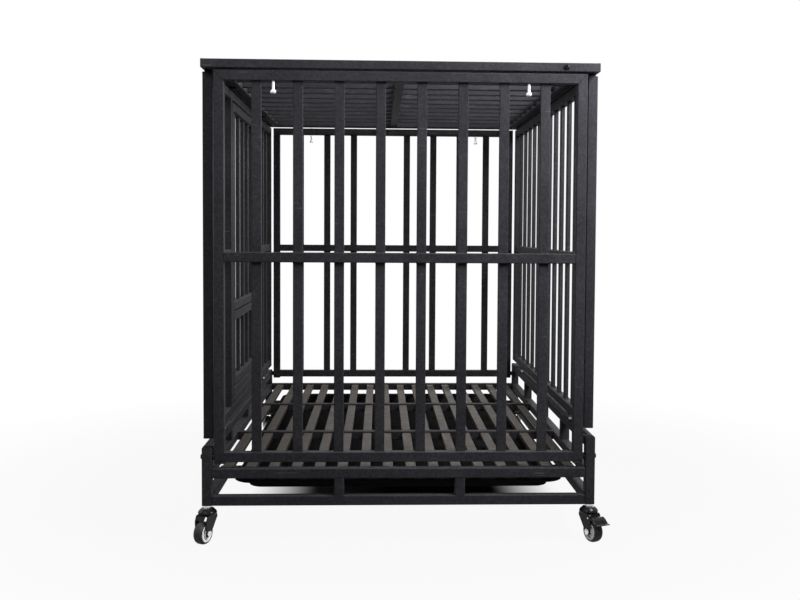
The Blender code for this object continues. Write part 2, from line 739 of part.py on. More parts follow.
def left_panel_part(material):
    """The door side: barred sections at both ends and a doorway between them."""
    side = "left"
    inner = SIDE_Y_OUT - TUBE
    doorway = DOORWAY_LENGTH / 2
    rail_high = SIDE_BOTTOM[side] + TUBE
    top_low = SIDE_TOP - TUBE
    mid_low = BASE_Z + SIDE_MID_HEIGHT
    mid_high = mid_low + TUBE
    outline = rectangle((-SIDE_Y_OUT, SIDE_BOTTOM[side]), (SIDE_Y_OUT, SIDE_TOP))
    windows = [rectangle((-doorway, rail_high), (doorway, top_low))]
    for sign in (-1, 1):
        near, far = sorted((sign * (doorway + TUBE), sign * inner))
        windows.append(rectangle((near, rail_high), (far, mid_low)))
        windows.append(rectangle((near, mid_high), (far, top_low)))
    pivot = (-X_IN, 0, HINGE_Z[side])
    panel = add_plate("left_panel", [outline] + windows, TUBE, FACING_X, (-SIDE_X, 0, 0), material, pivot)
    centres = [y for y in centred(-inner, inner, SIDE_BAR_PITCH) if abs(y) > doorway + TUBE + BAR_WIDTH / 2]
    weld_boxes(panel, "bars", side_bar_spans(side, rail_high - WELD_DEPTH, top_low + WELD_DEPTH, centres))
    add_side_knuckles(panel, side, "panel")
    add_door_knuckles(panel, "frame")
    keeper_high = -doorway - LATCH_SETBACK
    keeper_low = keeper_high - LATCH_KEEPER_LENGTH
    add_bored_block(panel, "keeper", (keeper_low, keeper_high), "Y", BASE_Z + LATCH_HEIGHT)


def door_frame_limits():
    """Outer limits of the door: half its length, bottom and top."""
    return (DOORWAY_LENGTH / 2 - DOOR_GAP, SIDE_BOTTOM["left"] + TUBE + DOOR_GAP, SIDE_TOP - TUBE - DOOR_GAP)


def door_axis():
    return Vector((-X_OUT - DOOR_BARREL_OFFSET, DOORWAY_LENGTH / 2 - DOOR_GAP / 2, 0))


def feeder_axis():
    door_bottom = door_frame_limits()[1]
    return Vector((-X_OUT - DOOR_BARREL_OFFSET, 0, door_bottom + DOOR_BOTTOM_RAIL + DOOR_GAP / 2))


def door_hinge_middles():
    half, low, high = door_frame_limits()
    return [low + DOOR_HINGE_INSET, high - DOOR_HINGE_INSET]


def knuckle_spans(middles, which):
    """The frame has the two outer knuckles of each hinge, and what it carries has the middle one."""
    spans = []
    for middle in middles:
        if which == "frame":
            spans.append((middle - 1.5 * DOOR_KNUCKLE, middle - DOOR_KNUCKLE / 2))
            spans.append((middle + DOOR_KNUCKLE / 2, middle + 1.5 * DOOR_KNUCKLE))
        else:
            spans.append((middle - DOOR_KNUCKLE / 2 + SEAT_GAP, middle + DOOR_KNUCKLE / 2 - SEAT_GAP))
    return spans


def add_knuckles(obj, name, point_at, leaf_side, spans):
    """Barrels on leaves welded to the outer face. point_at gives the point at a place along the
    hinge's length and a distance across it, and leaf_side is the side on which the leaf lies."""
    start_x = -X_OUT - DOOR_LEAF_THICKNESS
    leaves = []
    for near, far in spans:
        first = point_at(near + BORE_GAP, leaf_side * DOOR_LEAF_START)
        second = point_at(far - BORE_GAP, leaf_side * DOOR_LEAF_WIDTH)
        low, high = corners(first, second)
        low.x, high.x = start_x, -X_OUT + SURFACE_WELD
        leaves.append((low, high))
    weld_boxes(obj, name + "_leaves", leaves)
    weld_rods(obj, name + "_barrels", [
        (point_at(near, 0), point_at(far, 0), DOOR_BARREL) for near, far in spans
    ])
    bore_radius = DOOR_PIN_RADIUS + BORE_GAP
    drill(obj, name + "_bores", [
        (point_at(near - BORE_PAST, 0), point_at(far + BORE_PAST, 0), bore_radius) for near, far in spans
    ], PIN_STEPS)


def door_point(along, across):
    axis = door_axis()
    return Vector((axis.x, axis.y + across, along))


def feeder_point(along, across):
    axis = feeder_axis()
    return Vector((axis.x, along, axis.z + across))


def add_door_knuckles(obj, which):
    add_knuckles(obj, "door_hinge", door_point, 1 if which == "frame" else -1,
                 knuckle_spans(door_hinge_middles(), which))


def add_feeder_knuckles(obj, which):
    middles = [-FEEDER_HINGE_SPREAD / 2, FEEDER_HINGE_SPREAD / 2]
    add_knuckles(obj, "feeder_hinge", feeder_point, -1 if which == "frame" else 1,
                 knuckle_spans(middles, which))


def add_bored_block(obj, name, span, along, across):
    """A small block welded to the outer face, bored for a latch bolt that runs along Y or Z."""
    half = LATCH_BLOCK / 2
    x = -X_OUT - LATCH_STANDOFF
    low_x, high_x = x - half, -X_OUT + SURFACE_WELD
    near, far = min(span), max(span)
    bore_radius = LATCH_BOLT_RADIUS + BORE_GAP
    if along == "Y":
        box = ((low_x, near, across - half), (high_x, far, across + half))
        bore = ((x, near - BORE_PAST, across), (x, far + BORE_PAST, across), bore_radius)
    else:
        box = ((low_x, across - half, near), (high_x, across + half, far))
        bore = ((x, across, near - BORE_PAST), (x, across, far + BORE_PAST), bore_radius)
    weld_boxes(obj, name, [box])
    drill(obj, name + "_bore", [bore])


def add_latch_guides(obj, start, direction, along, across):
    """Two guides on a backing plate. They run from start, in direction +1 or -1 along Y or Z."""
    second = start + direction * (LATCH_KEEPER_LENGTH + LATCH_FINGER + LATCH_TRAVEL)
    end = second + direction * LATCH_KEEPER_LENGTH
    half = LATCH_BLOCK / 2 + LATCH_PLATE_LIP
    low_x, high_x = -X_OUT - DOOR_LEAF_THICKNESS, -X_OUT + PLATE_WELD
    near, far = min(start, end), max(start, end)
    if along == "Y":
        plate = ((low_x, near, across - half), (high_x, far, across + half))
    else:
        plate = ((low_x, across - half, near), (high_x, across + half, far))
    weld_boxes(obj, "latch_plate", [plate])
    for number, first in enumerate((start, second)):
        span = (first, first + direction * LATCH_KEEPER_LENGTH)
        add_bored_block(obj, f"latch_guide_{number}", span, along, across)


def door_part(material):
    """The big door: barred above its mid rail, open below for the feeder door."""
    half, low, high = door_frame_limits()
    inner = half - TUBE
    mid_low = BASE_Z + DOOR_MID_HEIGHT
    mid_high = mid_low + TUBE
    outline = rectangle((-half, low), (half, high))
    windows = [
        rectangle((-inner, low + DOOR_BOTTOM_RAIL), (inner, mid_low)),
        rectangle((-inner, mid_high), (inner, high - TUBE)),
    ]
    outlines = [outline] + windows
    door = add_plate("door", outlines, TUBE, FACING_X, (-SIDE_X, 0, 0), material, door_axis())
    bar_centres = centred(-inner, inner, DOOR_BAR_PITCH)
    bars = side_bar_spans("left", mid_high - WELD_DEPTH, high - TUBE + WELD_DEPTH, bar_centres)
    weld_boxes(door, "bars", bars)
    add_door_knuckles(door, "door")
    add_feeder_knuckles(door, "frame")
    add_latch_guides(door, -half + LATCH_SETBACK, 1, "Y", BASE_Z + LATCH_HEIGHT)
    keeper_low = mid_low + LATCH_SETBACK
    add_bored_block(door, "feeder_keeper", (keeper_low, keeper_low + LATCH_KEEPER_LENGTH), "Z", 0)


def feeder_door_part(material):
    """The small barred door in the lower half of the big door, hinged along its bottom edge."""
    door_half, door_low, door_high = door_frame_limits()
    half = door_half - TUBE - DOOR_GAP
    low = door_low + DOOR_BOTTOM_RAIL + DOOR_GAP
    high = BASE_Z + DOOR_MID_HEIGHT - DOOR_GAP
    inner = half - TUBE
    outline = rectangle((-half, low), (half, high))
    window = rectangle((-inner, low + TUBE), (inner, high - TUBE))
    centre = (-SIDE_X, 0, 0)
    feeder = add_plate("feeder_door", [outline, window], TUBE, FACING_X, centre, material, feeder_axis())
    bar_centres = centred(-door_half + TUBE, door_half - TUBE, DOOR_BAR_PITCH)
    bars = side_bar_spans("left", low + TUBE - WELD_DEPTH, high - TUBE + WELD_DEPTH, bar_centres)
    weld_boxes(feeder, "bars", bars)
    add_feeder_knuckles(feeder, "door")
    add_latch_guides(feeder, high - LATCH_SETBACK, -1, "Z", 0)


def hinge_pin_profile(reach, radius, lip):
    """A pin with a flat head at each end, as high as it stands out."""
    end = reach + lip
    head = radius + lip
    return [
        (0, end), (head, end), (head, reach), (radius, reach),
        (radius, -reach), (head, -reach), (head, -end), (0, -end),
    ]


def door_hinge_pins(material):
    profile = hinge_pin_profile(1.5 * DOOR_KNUCKLE + SEAT_GAP, DOOR_PIN_RADIUS, DOOR_PIN_LIP)
    for label, middle in zip(("lower", "upper"), door_hinge_middles()):
        place = Matrix.Translation(door_point(middle, 0))
        add_turned("door_hinge_pin_" + label, profile, material, place, PIN_STEPS)
    for label, sign in (("front", -1), ("back", 1)):
        place = (Matrix.Translation(feeder_point(sign * FEEDER_HINGE_SPREAD / 2, 0))
                 @ Matrix.Rotation(math.radians(90), 4, "X"))
        add_turned("feeder_hinge_pin_" + label, profile, material, place, PIN_STEPS)


def latch_bolts(material):
    """Slide bolts, drawn back: one for the door and one for the feeder door."""
    x = -X_OUT - LATCH_STANDOFF
    start = Vector((x, -door_frame_limits()[0] + LATCH_SETBACK, BASE_Z + LATCH_HEIGHT))
    latch_bolt("door_latch_bolt", start, Vector((0, 1, 0)), Vector((0, 0, -1)), material)
    start = Vector((x, 0, BASE_Z + DOOR_MID_HEIGHT - DOOR_GAP - LATCH_SETBACK))
    latch_bolt("feeder_latch_bolt", start, Vector((0, 0, -1)), Vector((0, -1, 0)), material)


def latch_bolt(name, start, back, side, material):
    """A round bolt through two guides, with a finger tab that stands out between them."""
    tip = start - back * LATCH_SETBACK / 2
    length = 2 * LATCH_KEEPER_LENGTH + LATCH_FINGER + LATCH_TRAVEL + LATCH_SETBACK
    bm = bmesh.new()
    add_rod(bm, tip, start + back * length, LATCH_BOLT_RADIUS)
    bolt = add_part(name, mesh_from(bm, name, tip), material, tip)
    finger = start + back * (LATCH_KEEPER_LENGTH + LATCH_TRAVEL + LATCH_FINGER / 2)
    half_along = back * (LATCH_FINGER / 2 - SEAT_GAP)
    half_thick = Vector((LATCH_FINGER_THICKNESS / 2, 0, 0))
    first = finger - half_along - half_thick
    second = finger + half_along + half_thick + side * LATCH_FINGER_REACH
    weld_boxes(bolt, "finger", [corners(first, second)])


def top_frame_part(material):
    """The lift-off top frame: a tube ring with seats at its corners and lugs under the lid."""
    outline = rectangle((-X_OUT, -Y_OUT), (X_OUT, Y_OUT))
    window = rectangle((-X_IN, -Y_IN), (X_IN, Y_IN))
    middle = (TOP_Z + TOP_UNDERSIDE) / 2
    centre = (0, 0, middle)
    frame = add_plate("top_frame", [outline, window], TOP_THICKNESS, FACING_Z, centre, material, centre)
    pad_far = SIDE_Y_OUT - SEAT_PAD_INSET
    pad_near = pad_far - SEAT_PAD_LENGTH
    half = SEAT_PAD_WIDTH / 2
    weld_boxes(frame, "seat_pads", [
        corners((sx * SIDE_X - half, sy * pad_far, SIDE_TOP + SEAT_GAP),
                (sx * SIDE_X + half, sy * pad_near, TOP_UNDERSIDE + WELD_DEPTH))
        for sx in (-1, 1) for sy in (-1, 1)
    ])
    weld_boxes(frame, "lid_lugs", [lid_lug_span(sy * LENGTH / 4) for sy in (-1, 1)])
    weld_boxes(frame, "lid_lug_roots", [lid_lug_root_span(sy * LENGTH / 4) for sy in (-1, 1)])
    socket_top = TOP_UNDERSIDE + LOCK_TRAVEL - SURFACE_WELD
    drill(frame, "lock_sockets", [
        ((x, y, TOP_UNDERSIDE - CUT_PAST), (x, y, socket_top), LOCK_PIN_RADIUS + BORE_GAP)
        for x in (-LOCK_PIN_SPREAD / 2, LOCK_PIN_SPREAD / 2) for y in (-END_Y, END_Y)
    ])
    pivot_x = X_OUT - LID_PIVOT_INSET
    drill(frame, "lid_pivot_bores", [
        ((pivot_x, sy * (Y_OUT + CUT_PAST), middle), (pivot_x, sy * (Y_IN - CUT_PAST), middle),
         BOLT_RADIUS + BORE_GAP) for sy in (-1, 1)
    ])


def lid_lug_span(y):
    """A flat lug under the top frame's left rail, reaching in under the lid."""
    half = LID_LUG_LENGTH / 2
    low = (-X_IN - LID_LUG_HOLD, y - half, TOP_UNDERSIDE - LID_LUG_THICKNESS)
    high = (-X_IN + LID_LUG_REACH, y + half, TOP_UNDERSIDE)
    return low, high


def lid_lug_root_span(y):
    """What joins a lug to the rail above it."""
    half = LID_LUG_LENGTH / 2 - LID_LUG_INSET
    low = (-X_IN - LID_LUG_HOLD + LID_LUG_INSET, y - half, TOP_UNDERSIDE - LID_LUG_THICKNESS * 2 / 3)
    high = (-X_IN - LID_LUG_INSET, y + half, TOP_UNDERSIDE + WELD_DEPTH)
    return low, high


def top_lid_part(material):
    """The lid: a tube ring with slats across and one rib along its middle."""
    x_out, y_out = X_IN - LID_GAP, Y_IN - LID_GAP
    x_in, y_in = x_out - TUBE, y_out - TUBE
    low = TOP_UNDERSIDE + SEAT_GAP
    middle = (TOP_Z + TOP_UNDERSIDE) / 2
    centre_z = (TOP_Z + low) / 2
    pivot = (X_OUT - LID_PIVOT_INSET, 0, middle)
    outline = rectangle((-x_out, -y_out), (x_out, y_out))
    window = rectangle((-x_in, -y_in), (x_in, y_in))
    centre = (0, 0, centre_z)
    lid = add_plate("top_lid", [outline, window], TOP_Z - low, FACING_Z, centre, material, pivot)
    weld_boxes(lid, "slats", [
        ((-x_in - WELD_DEPTH, y - BAR_WIDTH / 2, centre_z - BAR_THICKNESS / 2),
         (x_in + WELD_DEPTH, y + BAR_WIDTH / 2, centre_z + BAR_THICKNESS / 2))
        for y in evenly(-y_in, y_in, LID_SLAT_PITCH)
    ])
    rib_reach = y_in + WELD_DEPTH
    weld_boxes(lid, "rib", [
        ((-TUBE / 2, -rib_reach, low + LID_RIB_INSET), (TUBE / 2, rib_reach, TOP_Z - LID_RIB_INSET))
    ])
    drill(lid, "pivot_bores", [
        ((pivot[0], sy * (y_out + CUT_PAST), middle), (pivot[0], sy * (y_in + WELD_DEPTH), middle),
         BOLT_RADIUS + BORE_GAP) for sy in (-1, 1)
    ])


def lid_pivot_bolts(material):
    """Bolts through the top frame's front and back rails into the lid."""
    middle = (TOP_Z + TOP_UNDERSIDE) / 2
    for end in ("front", "back"):
        place = (Matrix.Translation((X_OUT - LID_PIVOT_INSET, SIGN[end] * (Y_OUT + SEAT_GAP), middle))
                 @ Matrix.Rotation(-SIGN[end] * math.radians(90), 4, "X"))
        tip = -(TUBE + SEAT_GAP + LID_GAP + TUBE - BOLT_TIP_SETBACK)
        profile = bolt_head_profile() + [(BOLT_RADIUS, tip), (0, tip)]
        add_turned("lid_pivot_bolt_" + end, profile, material, place, SMALL_STEPS)


def wheel_profile():
    """Half section of a wheel, spun on its axle: crowned tread, recessed hub face and bore."""
    half = WHEEL_WIDTH / 2
    bore = AXLE_RADIUS + BORE_GAP
    boss = bore + HUB_BOSS_WALL
    face = [
        (bore, half + HUB_BOSS), (boss, half + HUB_BOSS), (boss, half - HUB_RECESS),
        (HUB_RADIUS - HUB_RECESS, half - HUB_RECESS), (HUB_RADIUS, half), (WHEEL_RADIUS - TREAD_EDGE, half),
        (WHEEL_RADIUS, half - TREAD_SHOULDER),
    ]
    return face + [(radius, -height) for radius, height in reversed(face)] + face[:1]


def fork_leg_outline():
    """Side view of a fork leg: wide under the head, tapering to a round end at the axle."""
    axle = Vector((CASTER_TRAIL, WHEEL_RADIUS))
    points = []
    for step in range(7):
        angle = math.radians(200 + 140 * step / 6)
        points.append(axle + FORK_TIP_RADIUS * Vector((math.cos(angle), math.sin(angle))))
    return points + [(along, FORK_HEAD_LOW + above) for along, above in FORK_LEG_CORNERS]


def turned_fork_head():
    """The fork's round head, spun from its profile and closed at both ends."""
    height = FORK_HEAD_HEIGHT - SEAT_GAP
    rings = [(FORK_HEAD_RADIUS * across, FORK_HEAD_LOW + height * up) for across, up in FORK_HEAD_PROFILE]
    bm = bmesh.new()
    for (upper_radius, upper), (lower_radius, lower) in zip(rings, rings[1:]):
        bmesh.ops.create_cone(
            bm, cap_ends=False, segments=ROUND_STEPS, radius1=lower_radius, radius2=upper_radius,
            depth=upper - lower, matrix=Matrix.Translation((0, 0, (upper + lower) / 2)),
        )
    bmesh.ops.remove_doubles(bm, verts=bm.verts, dist=MERGE_DISTANCE)
    bmesh.ops.holes_fill(bm, edges=[edge for edge in bm.edges if edge.is_boundary], sides=ROUND_STEPS)
    return mesh_from(bm, "caster_fork")


def fork_mesh():
    """The swivel fork: a turned head, a crown plate, two tapering legs and the axle bolt."""
    head = bpy.data.objects.new("fork_head", turned_fork_head())
    PARTS.objects.link(head)
    for sign in (-1, 1):
        leg = plate_mesh("fork_leg", [fork_leg_outline()], FORK_PLATE, 0.0)
        leg.transform(Matrix.Translation((0, sign * (FORK_OUT - FORK_PLATE / 2), 0)) @ FACING_Y)
        weld_mesh(head, f"leg_{sign}", leg)
    crown_low = (FORK_CROWN_FRONT, -FORK_OUT + WELD_INSET, FORK_HEAD_LOW + WELD_INSET)
    crown_high = (FORK_CROWN_BACK, FORK_OUT - WELD_INSET, FORK_HEAD_LOW + WELD_INSET + FORK_CROWN_THICKNESS)
    weld_boxes(head, "crown", [(crown_low, crown_high)])
    weld_rods(head, "axle", [axle_span(-FORK_OUT - AXLE_REACH, FORK_OUT + AXLE_REACH, AXLE_RADIUS)])
    for sign in (-1, 1):
        start, end = sign * (FORK_OUT - SURFACE_WELD), sign * (FORK_OUT + AXLE_NUT_HEIGHT)
        weld_rods(head, f"nut_{sign}", [axle_span(start, end, AXLE_NUT_RADIUS)], NUT_STEPS)
    drill(head, "bore", [
        ((0, 0, FORK_HEAD_LOW - CUT_PAST), (0, 0, CASTER_HEIGHT + CUT_PAST), STEM_RADIUS + BORE_GAP)
    ])
    pin_z = FORK_HEAD_LOW - SEAT_GAP - PEDAL_PIVOT_DROP
    reach = FORK_OUT + CUT_PAST
    drill(head, "pedal_bore", [
        ((PEDAL_PIVOT_OUT, -reach, pin_z), (PEDAL_PIVOT_OUT, reach, pin_z), PEDAL_PIN_RADIUS + BORE_GAP)
    ], PIN_STEPS)
    graph = bpy.context.evaluated_depsgraph_get()
    mesh = bpy.data.meshes.new_from_object(head.evaluated_get(graph))
    bpy.data.objects.remove(head, do_unlink=True)
    mesh.name = "caster_fork"
    return mesh


def axle_span(start, end, radius):
    """A rod on the wheel's axle between two places across the fork."""
    return (CASTER_TRAIL, start, WHEEL_RADIUS), (CASTER_TRAIL, end, WHEEL_RADIUS), radius


def pedal_part(name, material, parent):
    """The brake pedal: an arm on a cross pin in the fork, a brake shoe under it and a pad to step on."""
    top = FORK_HEAD_LOW - SEAT_GAP
    outline = [(PEDAL_PIVOT_OUT + out, top - down) for out, down in PEDAL_OUTLINE]
    mesh = plate_mesh(name, [outline], PEDAL_WIDTH, 0.0)
    pivot = Vector((PEDAL_PIVOT_OUT, 0, top - PEDAL_PIVOT_DROP))
    mesh.transform(Matrix.Translation(-pivot) @ FACING_Y)
    pedal = add_part(name, mesh, material, pivot, parent)
    arm = FORK_OUT - FORK_PLATE - PEDAL_ARM_GAP
    for label, half_width, low, high in (("arm", arm, PEDAL_ARM_LOW, PEDAL_ARM_HIGH),
                                         ("shoe", SHOE_WIDTH / 2, SHOE_LOW, SHOE_HIGH)):
        bm = bmesh.new()
        add_box(bm, (low[0], -half_width, low[1]), (high[0], half_width, high[1]))
        combine_local(pedal, f"{name}_{label}", bm)
    reach = FORK_OUT + PEDAL_PIN_END
    bm = bmesh.new()
    add_rod(bm, (0, -reach, 0), (0, reach, 0), PEDAL_PIN_RADIUS, PIN_STEPS)
    combine_local(pedal, name + "_pin", bm)
    return pedal


def combine_local(obj, name, bm):
    """Fuses a shape written in the part's own axes."""
    helper = add_cutter(name, bm)
    helper.parent = obj
    combine(obj, helper, "UNION")


def caster_parts(black_steel, chrome, wheel_material):
    """Four swivel casters: stem in the post, fork, wheel, and a brake pedal on two of them."""
    fork = fork_mesh()
    fork.materials.clear()
    top = CASTER_HEIGHT - SEAT_GAP
    nut_low = CASTER_HEIGHT - STEM_NUT_HEIGHT
    foot_radius = STEM_RADIUS + STEM_FOOT_LIP
    foot_high = FORK_HEAD_LOW - STEM_FOOT_GAP
    foot_low = foot_high - STEM_FOOT_LIP
    stem_profile = [
        (0, top), (STEM_NUT_RADIUS, top), (STEM_NUT_RADIUS, nut_low), (STEM_RADIUS, nut_low),
        (STEM_RADIUS, foot_high), (foot_radius, foot_high), (foot_radius, foot_low), (0, foot_low),
    ]
    headings = {
        "front_right": -math.pi / 2 + CASTER_TURN, "back_left": math.pi / 2 + CASTER_TURN,
        "front_left": -math.pi / 2 - CASTER_TURN, "back_right": math.pi / 2 - CASTER_TURN,
    }
    wheel_mesh = None
    for corner, heading in headings.items():
        end, side = corner.split("_")
        centre = (SIGN[side] * SIDE_X, SIGN[end] * END_Y, 0)
        swivel = bpy.data.objects.new("caster_" + corner, None)
        swivel.location = centre
        swivel.rotation_euler = (0, 0, heading)
        PARTS.objects.link(swivel)
        add_turned("caster_stem_" + corner, stem_profile, chrome, Matrix.Translation(centre), SMALL_STEPS)
        body = add_part("caster_fork_" + corner, fork, black_steel, (0, 0, 0), swivel)
        smooth(body)
        on_axle = Matrix.Translation((CASTER_TRAIL, 0, WHEEL_RADIUS))
        place = on_axle @ Matrix.Rotation(math.radians(90), 4, "X")
        name = "caster_wheel_" + corner
        wheel = add_turned(name, wheel_profile(), wheel_material, place, WHEEL_STEPS, swivel)
        if wheel_mesh:
            wheel.data = wheel_mesh
        wheel_mesh = wheel.data
        if corner in BRAKED:
            pedal_part("brake_pedal_" + corner, black_steel, swivel)


def main():
    global PARTS, CUTTERS
    clear_scene()
    PARTS = new_collection("folding_dog_crate")
    CUTTERS = new_collection("cutters")
    frame_steel = principled("black_painted_steel", (0.035, 0.035, 0.038), 0.45, 0.0)
    slat_steel = principled("slat_steel", (0.06, 0.055, 0.05), 0.5, 0.0)
    chrome = principled("chrome", (0.75, 0.75, 0.76), 0.2, 1.0)
    plastic = principled("tray_plastic", (0.02, 0.02, 0.022), 0.4, 0.0)
    fork_black = principled("caster_black", (0.02, 0.02, 0.02), 0.25, 0.3)
    wheel_grey = principled("caster_wheel", (0.12, 0.12, 0.12), 0.6, 0.0)
    post_parts(frame_steel)
    end_base_parts(frame_steel)
    side_base_parts(frame_steel)
    side_hinge_pins(chrome)
    floor_grate_part(slat_steel)
    tray_parts(plastic, slat_steel)
    end_panel_parts(frame_steel)
    end_pivot_bolts(fork_black)
    lock_pins(chrome)
    right_panel_part(frame_steel)
    left_panel_part(frame_steel)
    door_part(frame_steel)
    feeder_door_part(frame_steel)
    door_hinge_pins(chrome)
    latch_bolts(chrome)
    top_frame_part(frame_steel)
    top_lid_part(frame_steel)
    lid_pivot_bolts(fork_black)
    caster_parts(fork_black, chrome, wheel_grey)


main()
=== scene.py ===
import itertools
import json
import math

import bmesh
import bpy
from bpy.props import FloatProperty, FloatVectorProperty, PointerProperty
from mathutils import Euler, Matrix, Vector


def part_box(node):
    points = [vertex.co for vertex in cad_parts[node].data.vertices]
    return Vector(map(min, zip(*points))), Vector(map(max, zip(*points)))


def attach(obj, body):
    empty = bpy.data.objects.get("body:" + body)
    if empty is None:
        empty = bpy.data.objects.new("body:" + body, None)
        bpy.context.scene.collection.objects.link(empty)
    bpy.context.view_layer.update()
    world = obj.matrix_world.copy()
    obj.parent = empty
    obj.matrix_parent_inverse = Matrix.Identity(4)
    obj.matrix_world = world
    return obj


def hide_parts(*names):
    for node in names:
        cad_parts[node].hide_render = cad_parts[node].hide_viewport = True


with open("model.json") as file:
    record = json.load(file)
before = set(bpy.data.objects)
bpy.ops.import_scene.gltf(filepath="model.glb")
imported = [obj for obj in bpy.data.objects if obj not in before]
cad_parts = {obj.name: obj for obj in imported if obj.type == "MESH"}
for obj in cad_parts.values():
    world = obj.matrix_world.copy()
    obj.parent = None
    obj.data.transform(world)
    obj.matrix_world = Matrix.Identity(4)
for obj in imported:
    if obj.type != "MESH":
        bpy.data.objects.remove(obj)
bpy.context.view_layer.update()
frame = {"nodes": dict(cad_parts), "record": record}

bl_info = {
    "name": "Folding Dog Crate Finish",
    "version": (1, 0, 0),
    "blender": (4, 5, 0),
    "location": "View3D > Sidebar > Crate",
    "description": "Dresses a folding dog crate: tube frames, bars, welds, casters, coatings and a studio",
    "category": "Object",
}

# Camera that matches the photograph, in metres and degrees
CAMERA_PLACE = (-0.0412, -2.3937, 0.6016)
CAMERA_TURN = (87.469, -0.350, -2.160)
CAMERA_LENS = 43.817
CAMERA_SHIFT = (-0.0203, -0.03205)
CAMERA_SENSOR = 36.0

# Floor: its grey, and the distances from the crate's middle between which its share of plain white rises
FLOOR_GREY = (0.15, 0.15, 0.15, 1.0)
FLOOR_WHITE = {"low": 0.6, "high": 1.5, "to_low": 0.93, "to_high": 1.0}

# Shade on the floor under the tray: its middle, and the distances from there over which it fades to white
SHADE_FADE = {"X": (0.02, 0.20, 0.37), "Y": (0.09, 0.27, 0.36)}

# Soft lights: name, place, target, width, height and share of the key light's power
LIGHTS = (
    ("key_softbox", (0.85, -0.87, 1.25), (0.25, -0.5, 0.9), 0.5, 0.5, 1.0),
    ("fill_softbox", (-0.8, -1.6, 1.75), (-0.3, -0.5, 1.1), 0.8, 0.8, 0.41),
    ("top_softbox", (0.2, 0.9, 2.4), (0, 0, 0.5), 1.6, 1.6, 0.47),
    ("side_softbox", (-2.4, 0.1, 1.5), (0, 0, 0.5), 1.6, 1.4, 0.6),
    ("back_softbox", (0.5, 2.6, 1.6), (0, 0, 0.5), 1.6, 1.4, 1.1),
)

# Colours beside those in the panel
COAT_DUST = (0.070, 0.066, 0.061)
SLAT_DUST = (0.088, 0.077, 0.067)
TRAY_DUST = (0.06, 0.056, 0.05)
CASTER_DUST = (0.10, 0.095, 0.09)
RUBBED_COAT = (0.16, 0.16, 0.165)
BLACK_OXIDE = (0.014, 0.014, 0.015)
CASTER_BLACKS = ((0.006, 0.006, 0.007), (0.011, 0.011, 0.012))
HUB_WHITES = ((0.93, 0.92, 0.90), (0.74, 0.72, 0.69))

# Stock of the crate's tubes and bars, and the small gaps between its pieces
TUBE = 0.019
BAR_WIDTH = 0.0188
BAR_THICKNESS = 0.008
SLAT_WIDTH = 0.020
SLAT_THICKNESS = 0.010
LEAST_TUBE = 0.012
CORNER_FACETS = 4
SEAT_GAP = 0.0003
CAP_HEIGHT = 0.0016

# Welds: points along a bar's bead, its sides and its ripples, and where a mitre's seam lies in its corner;
# the seam is a black rod of painted shade for the mitre's groove
BEAD_RIPPLES = 26
BEAD_SIDES = 5
RIPPLE_SCALE = 420.0
MITRE_INSET = 0.0008
SEAM_SINK = 0.0002

# Seeds of the ripples in the beads
BEAD_SEEDS = {"ends": 0.0, "right": 7.0, "left": 11.0, "door": 21.0, "feeder": 25.0, "end_base": 31.0,
              "side_base": 33.0, "lid": 41.0}

# Softened edges of turned pieces and plates, small welded parts, hinge webs, runners and moulded parts
RIM = 0.0004
EDGE = 0.0005
WEB_EDGE = 0.0003
RUNNER_EDGE = 0.0007
MOULDED_EDGE = 0.0008

# Steps round each kind of turned piece, and the angle over which an edge stays crisp
STEPS = {"seam": 6, "rivet": 14, "pedal_pin": 16, "knob": 18, "hinge_pin": 20, "rod": 24, "bolt": 28,
         "lock_pin": 32, "fork": 44, "wheel": 56}
SHARP_ANGLE = math.radians(34)

# Places and pitches across the crate
X_OUT = 0.380
X_IN = X_OUT - TUBE
SIDE_X = X_OUT - TUBE / 2
SIDE_Y_OUT = 0.511
STILE_FOOT = 0.003
END_MID_Z = 0.5503
END_BARS = 8
END_BAR_PITCH = 0.0788
SIDE_MID_Z = 0.5505
SIDE_BARS = 12
SIDE_BAR_PITCH = 0.079
BAY_PLACE = 5 * SIDE_BAR_PITCH
BASE_STRUTS = 0.234
SIDE_STRUTS = 0.266
FLOOR_SLATS = 16
SLAT_PITCH = 0.0447
CROSS_TUBES = 0.35467
CROSS_RISE = 0.003
LID_SLATS = 11
LID_SLAT_PITCH = 0.082
LID_RIB_SLACK = 0.0032

# Top frame: pads at its corners and lugs under the lid's edge
PAD_HALF_WIDTH = 0.006
PAD_LENGTH = 0.014
PAD_SETBACK = 0.003
PAD_SINK = 0.001
PAD_EDGE = 0.001
LUG_HALF_WIDTH = 0.012
LUG_REACH = 0.012
LUG_HOLD = 0.014
LUG_THICKNESS = 0.003
LUG_SINK = 0.0004

# Side hinges
HINGE_X = {"left": -X_IN, "right": X_IN}
HINGE_Z = {"left": 0.1914, "right": 0.2109}
HINGE_CLEAR = 0.0134
HINGE_RADIUS = 0.0045
HINGE_BORE = 0.0023
HINGE_WEB = 0.0077
HINGE_KNUCKLE = 0.020
SIDE_HINGES = (-0.345, 0.345)

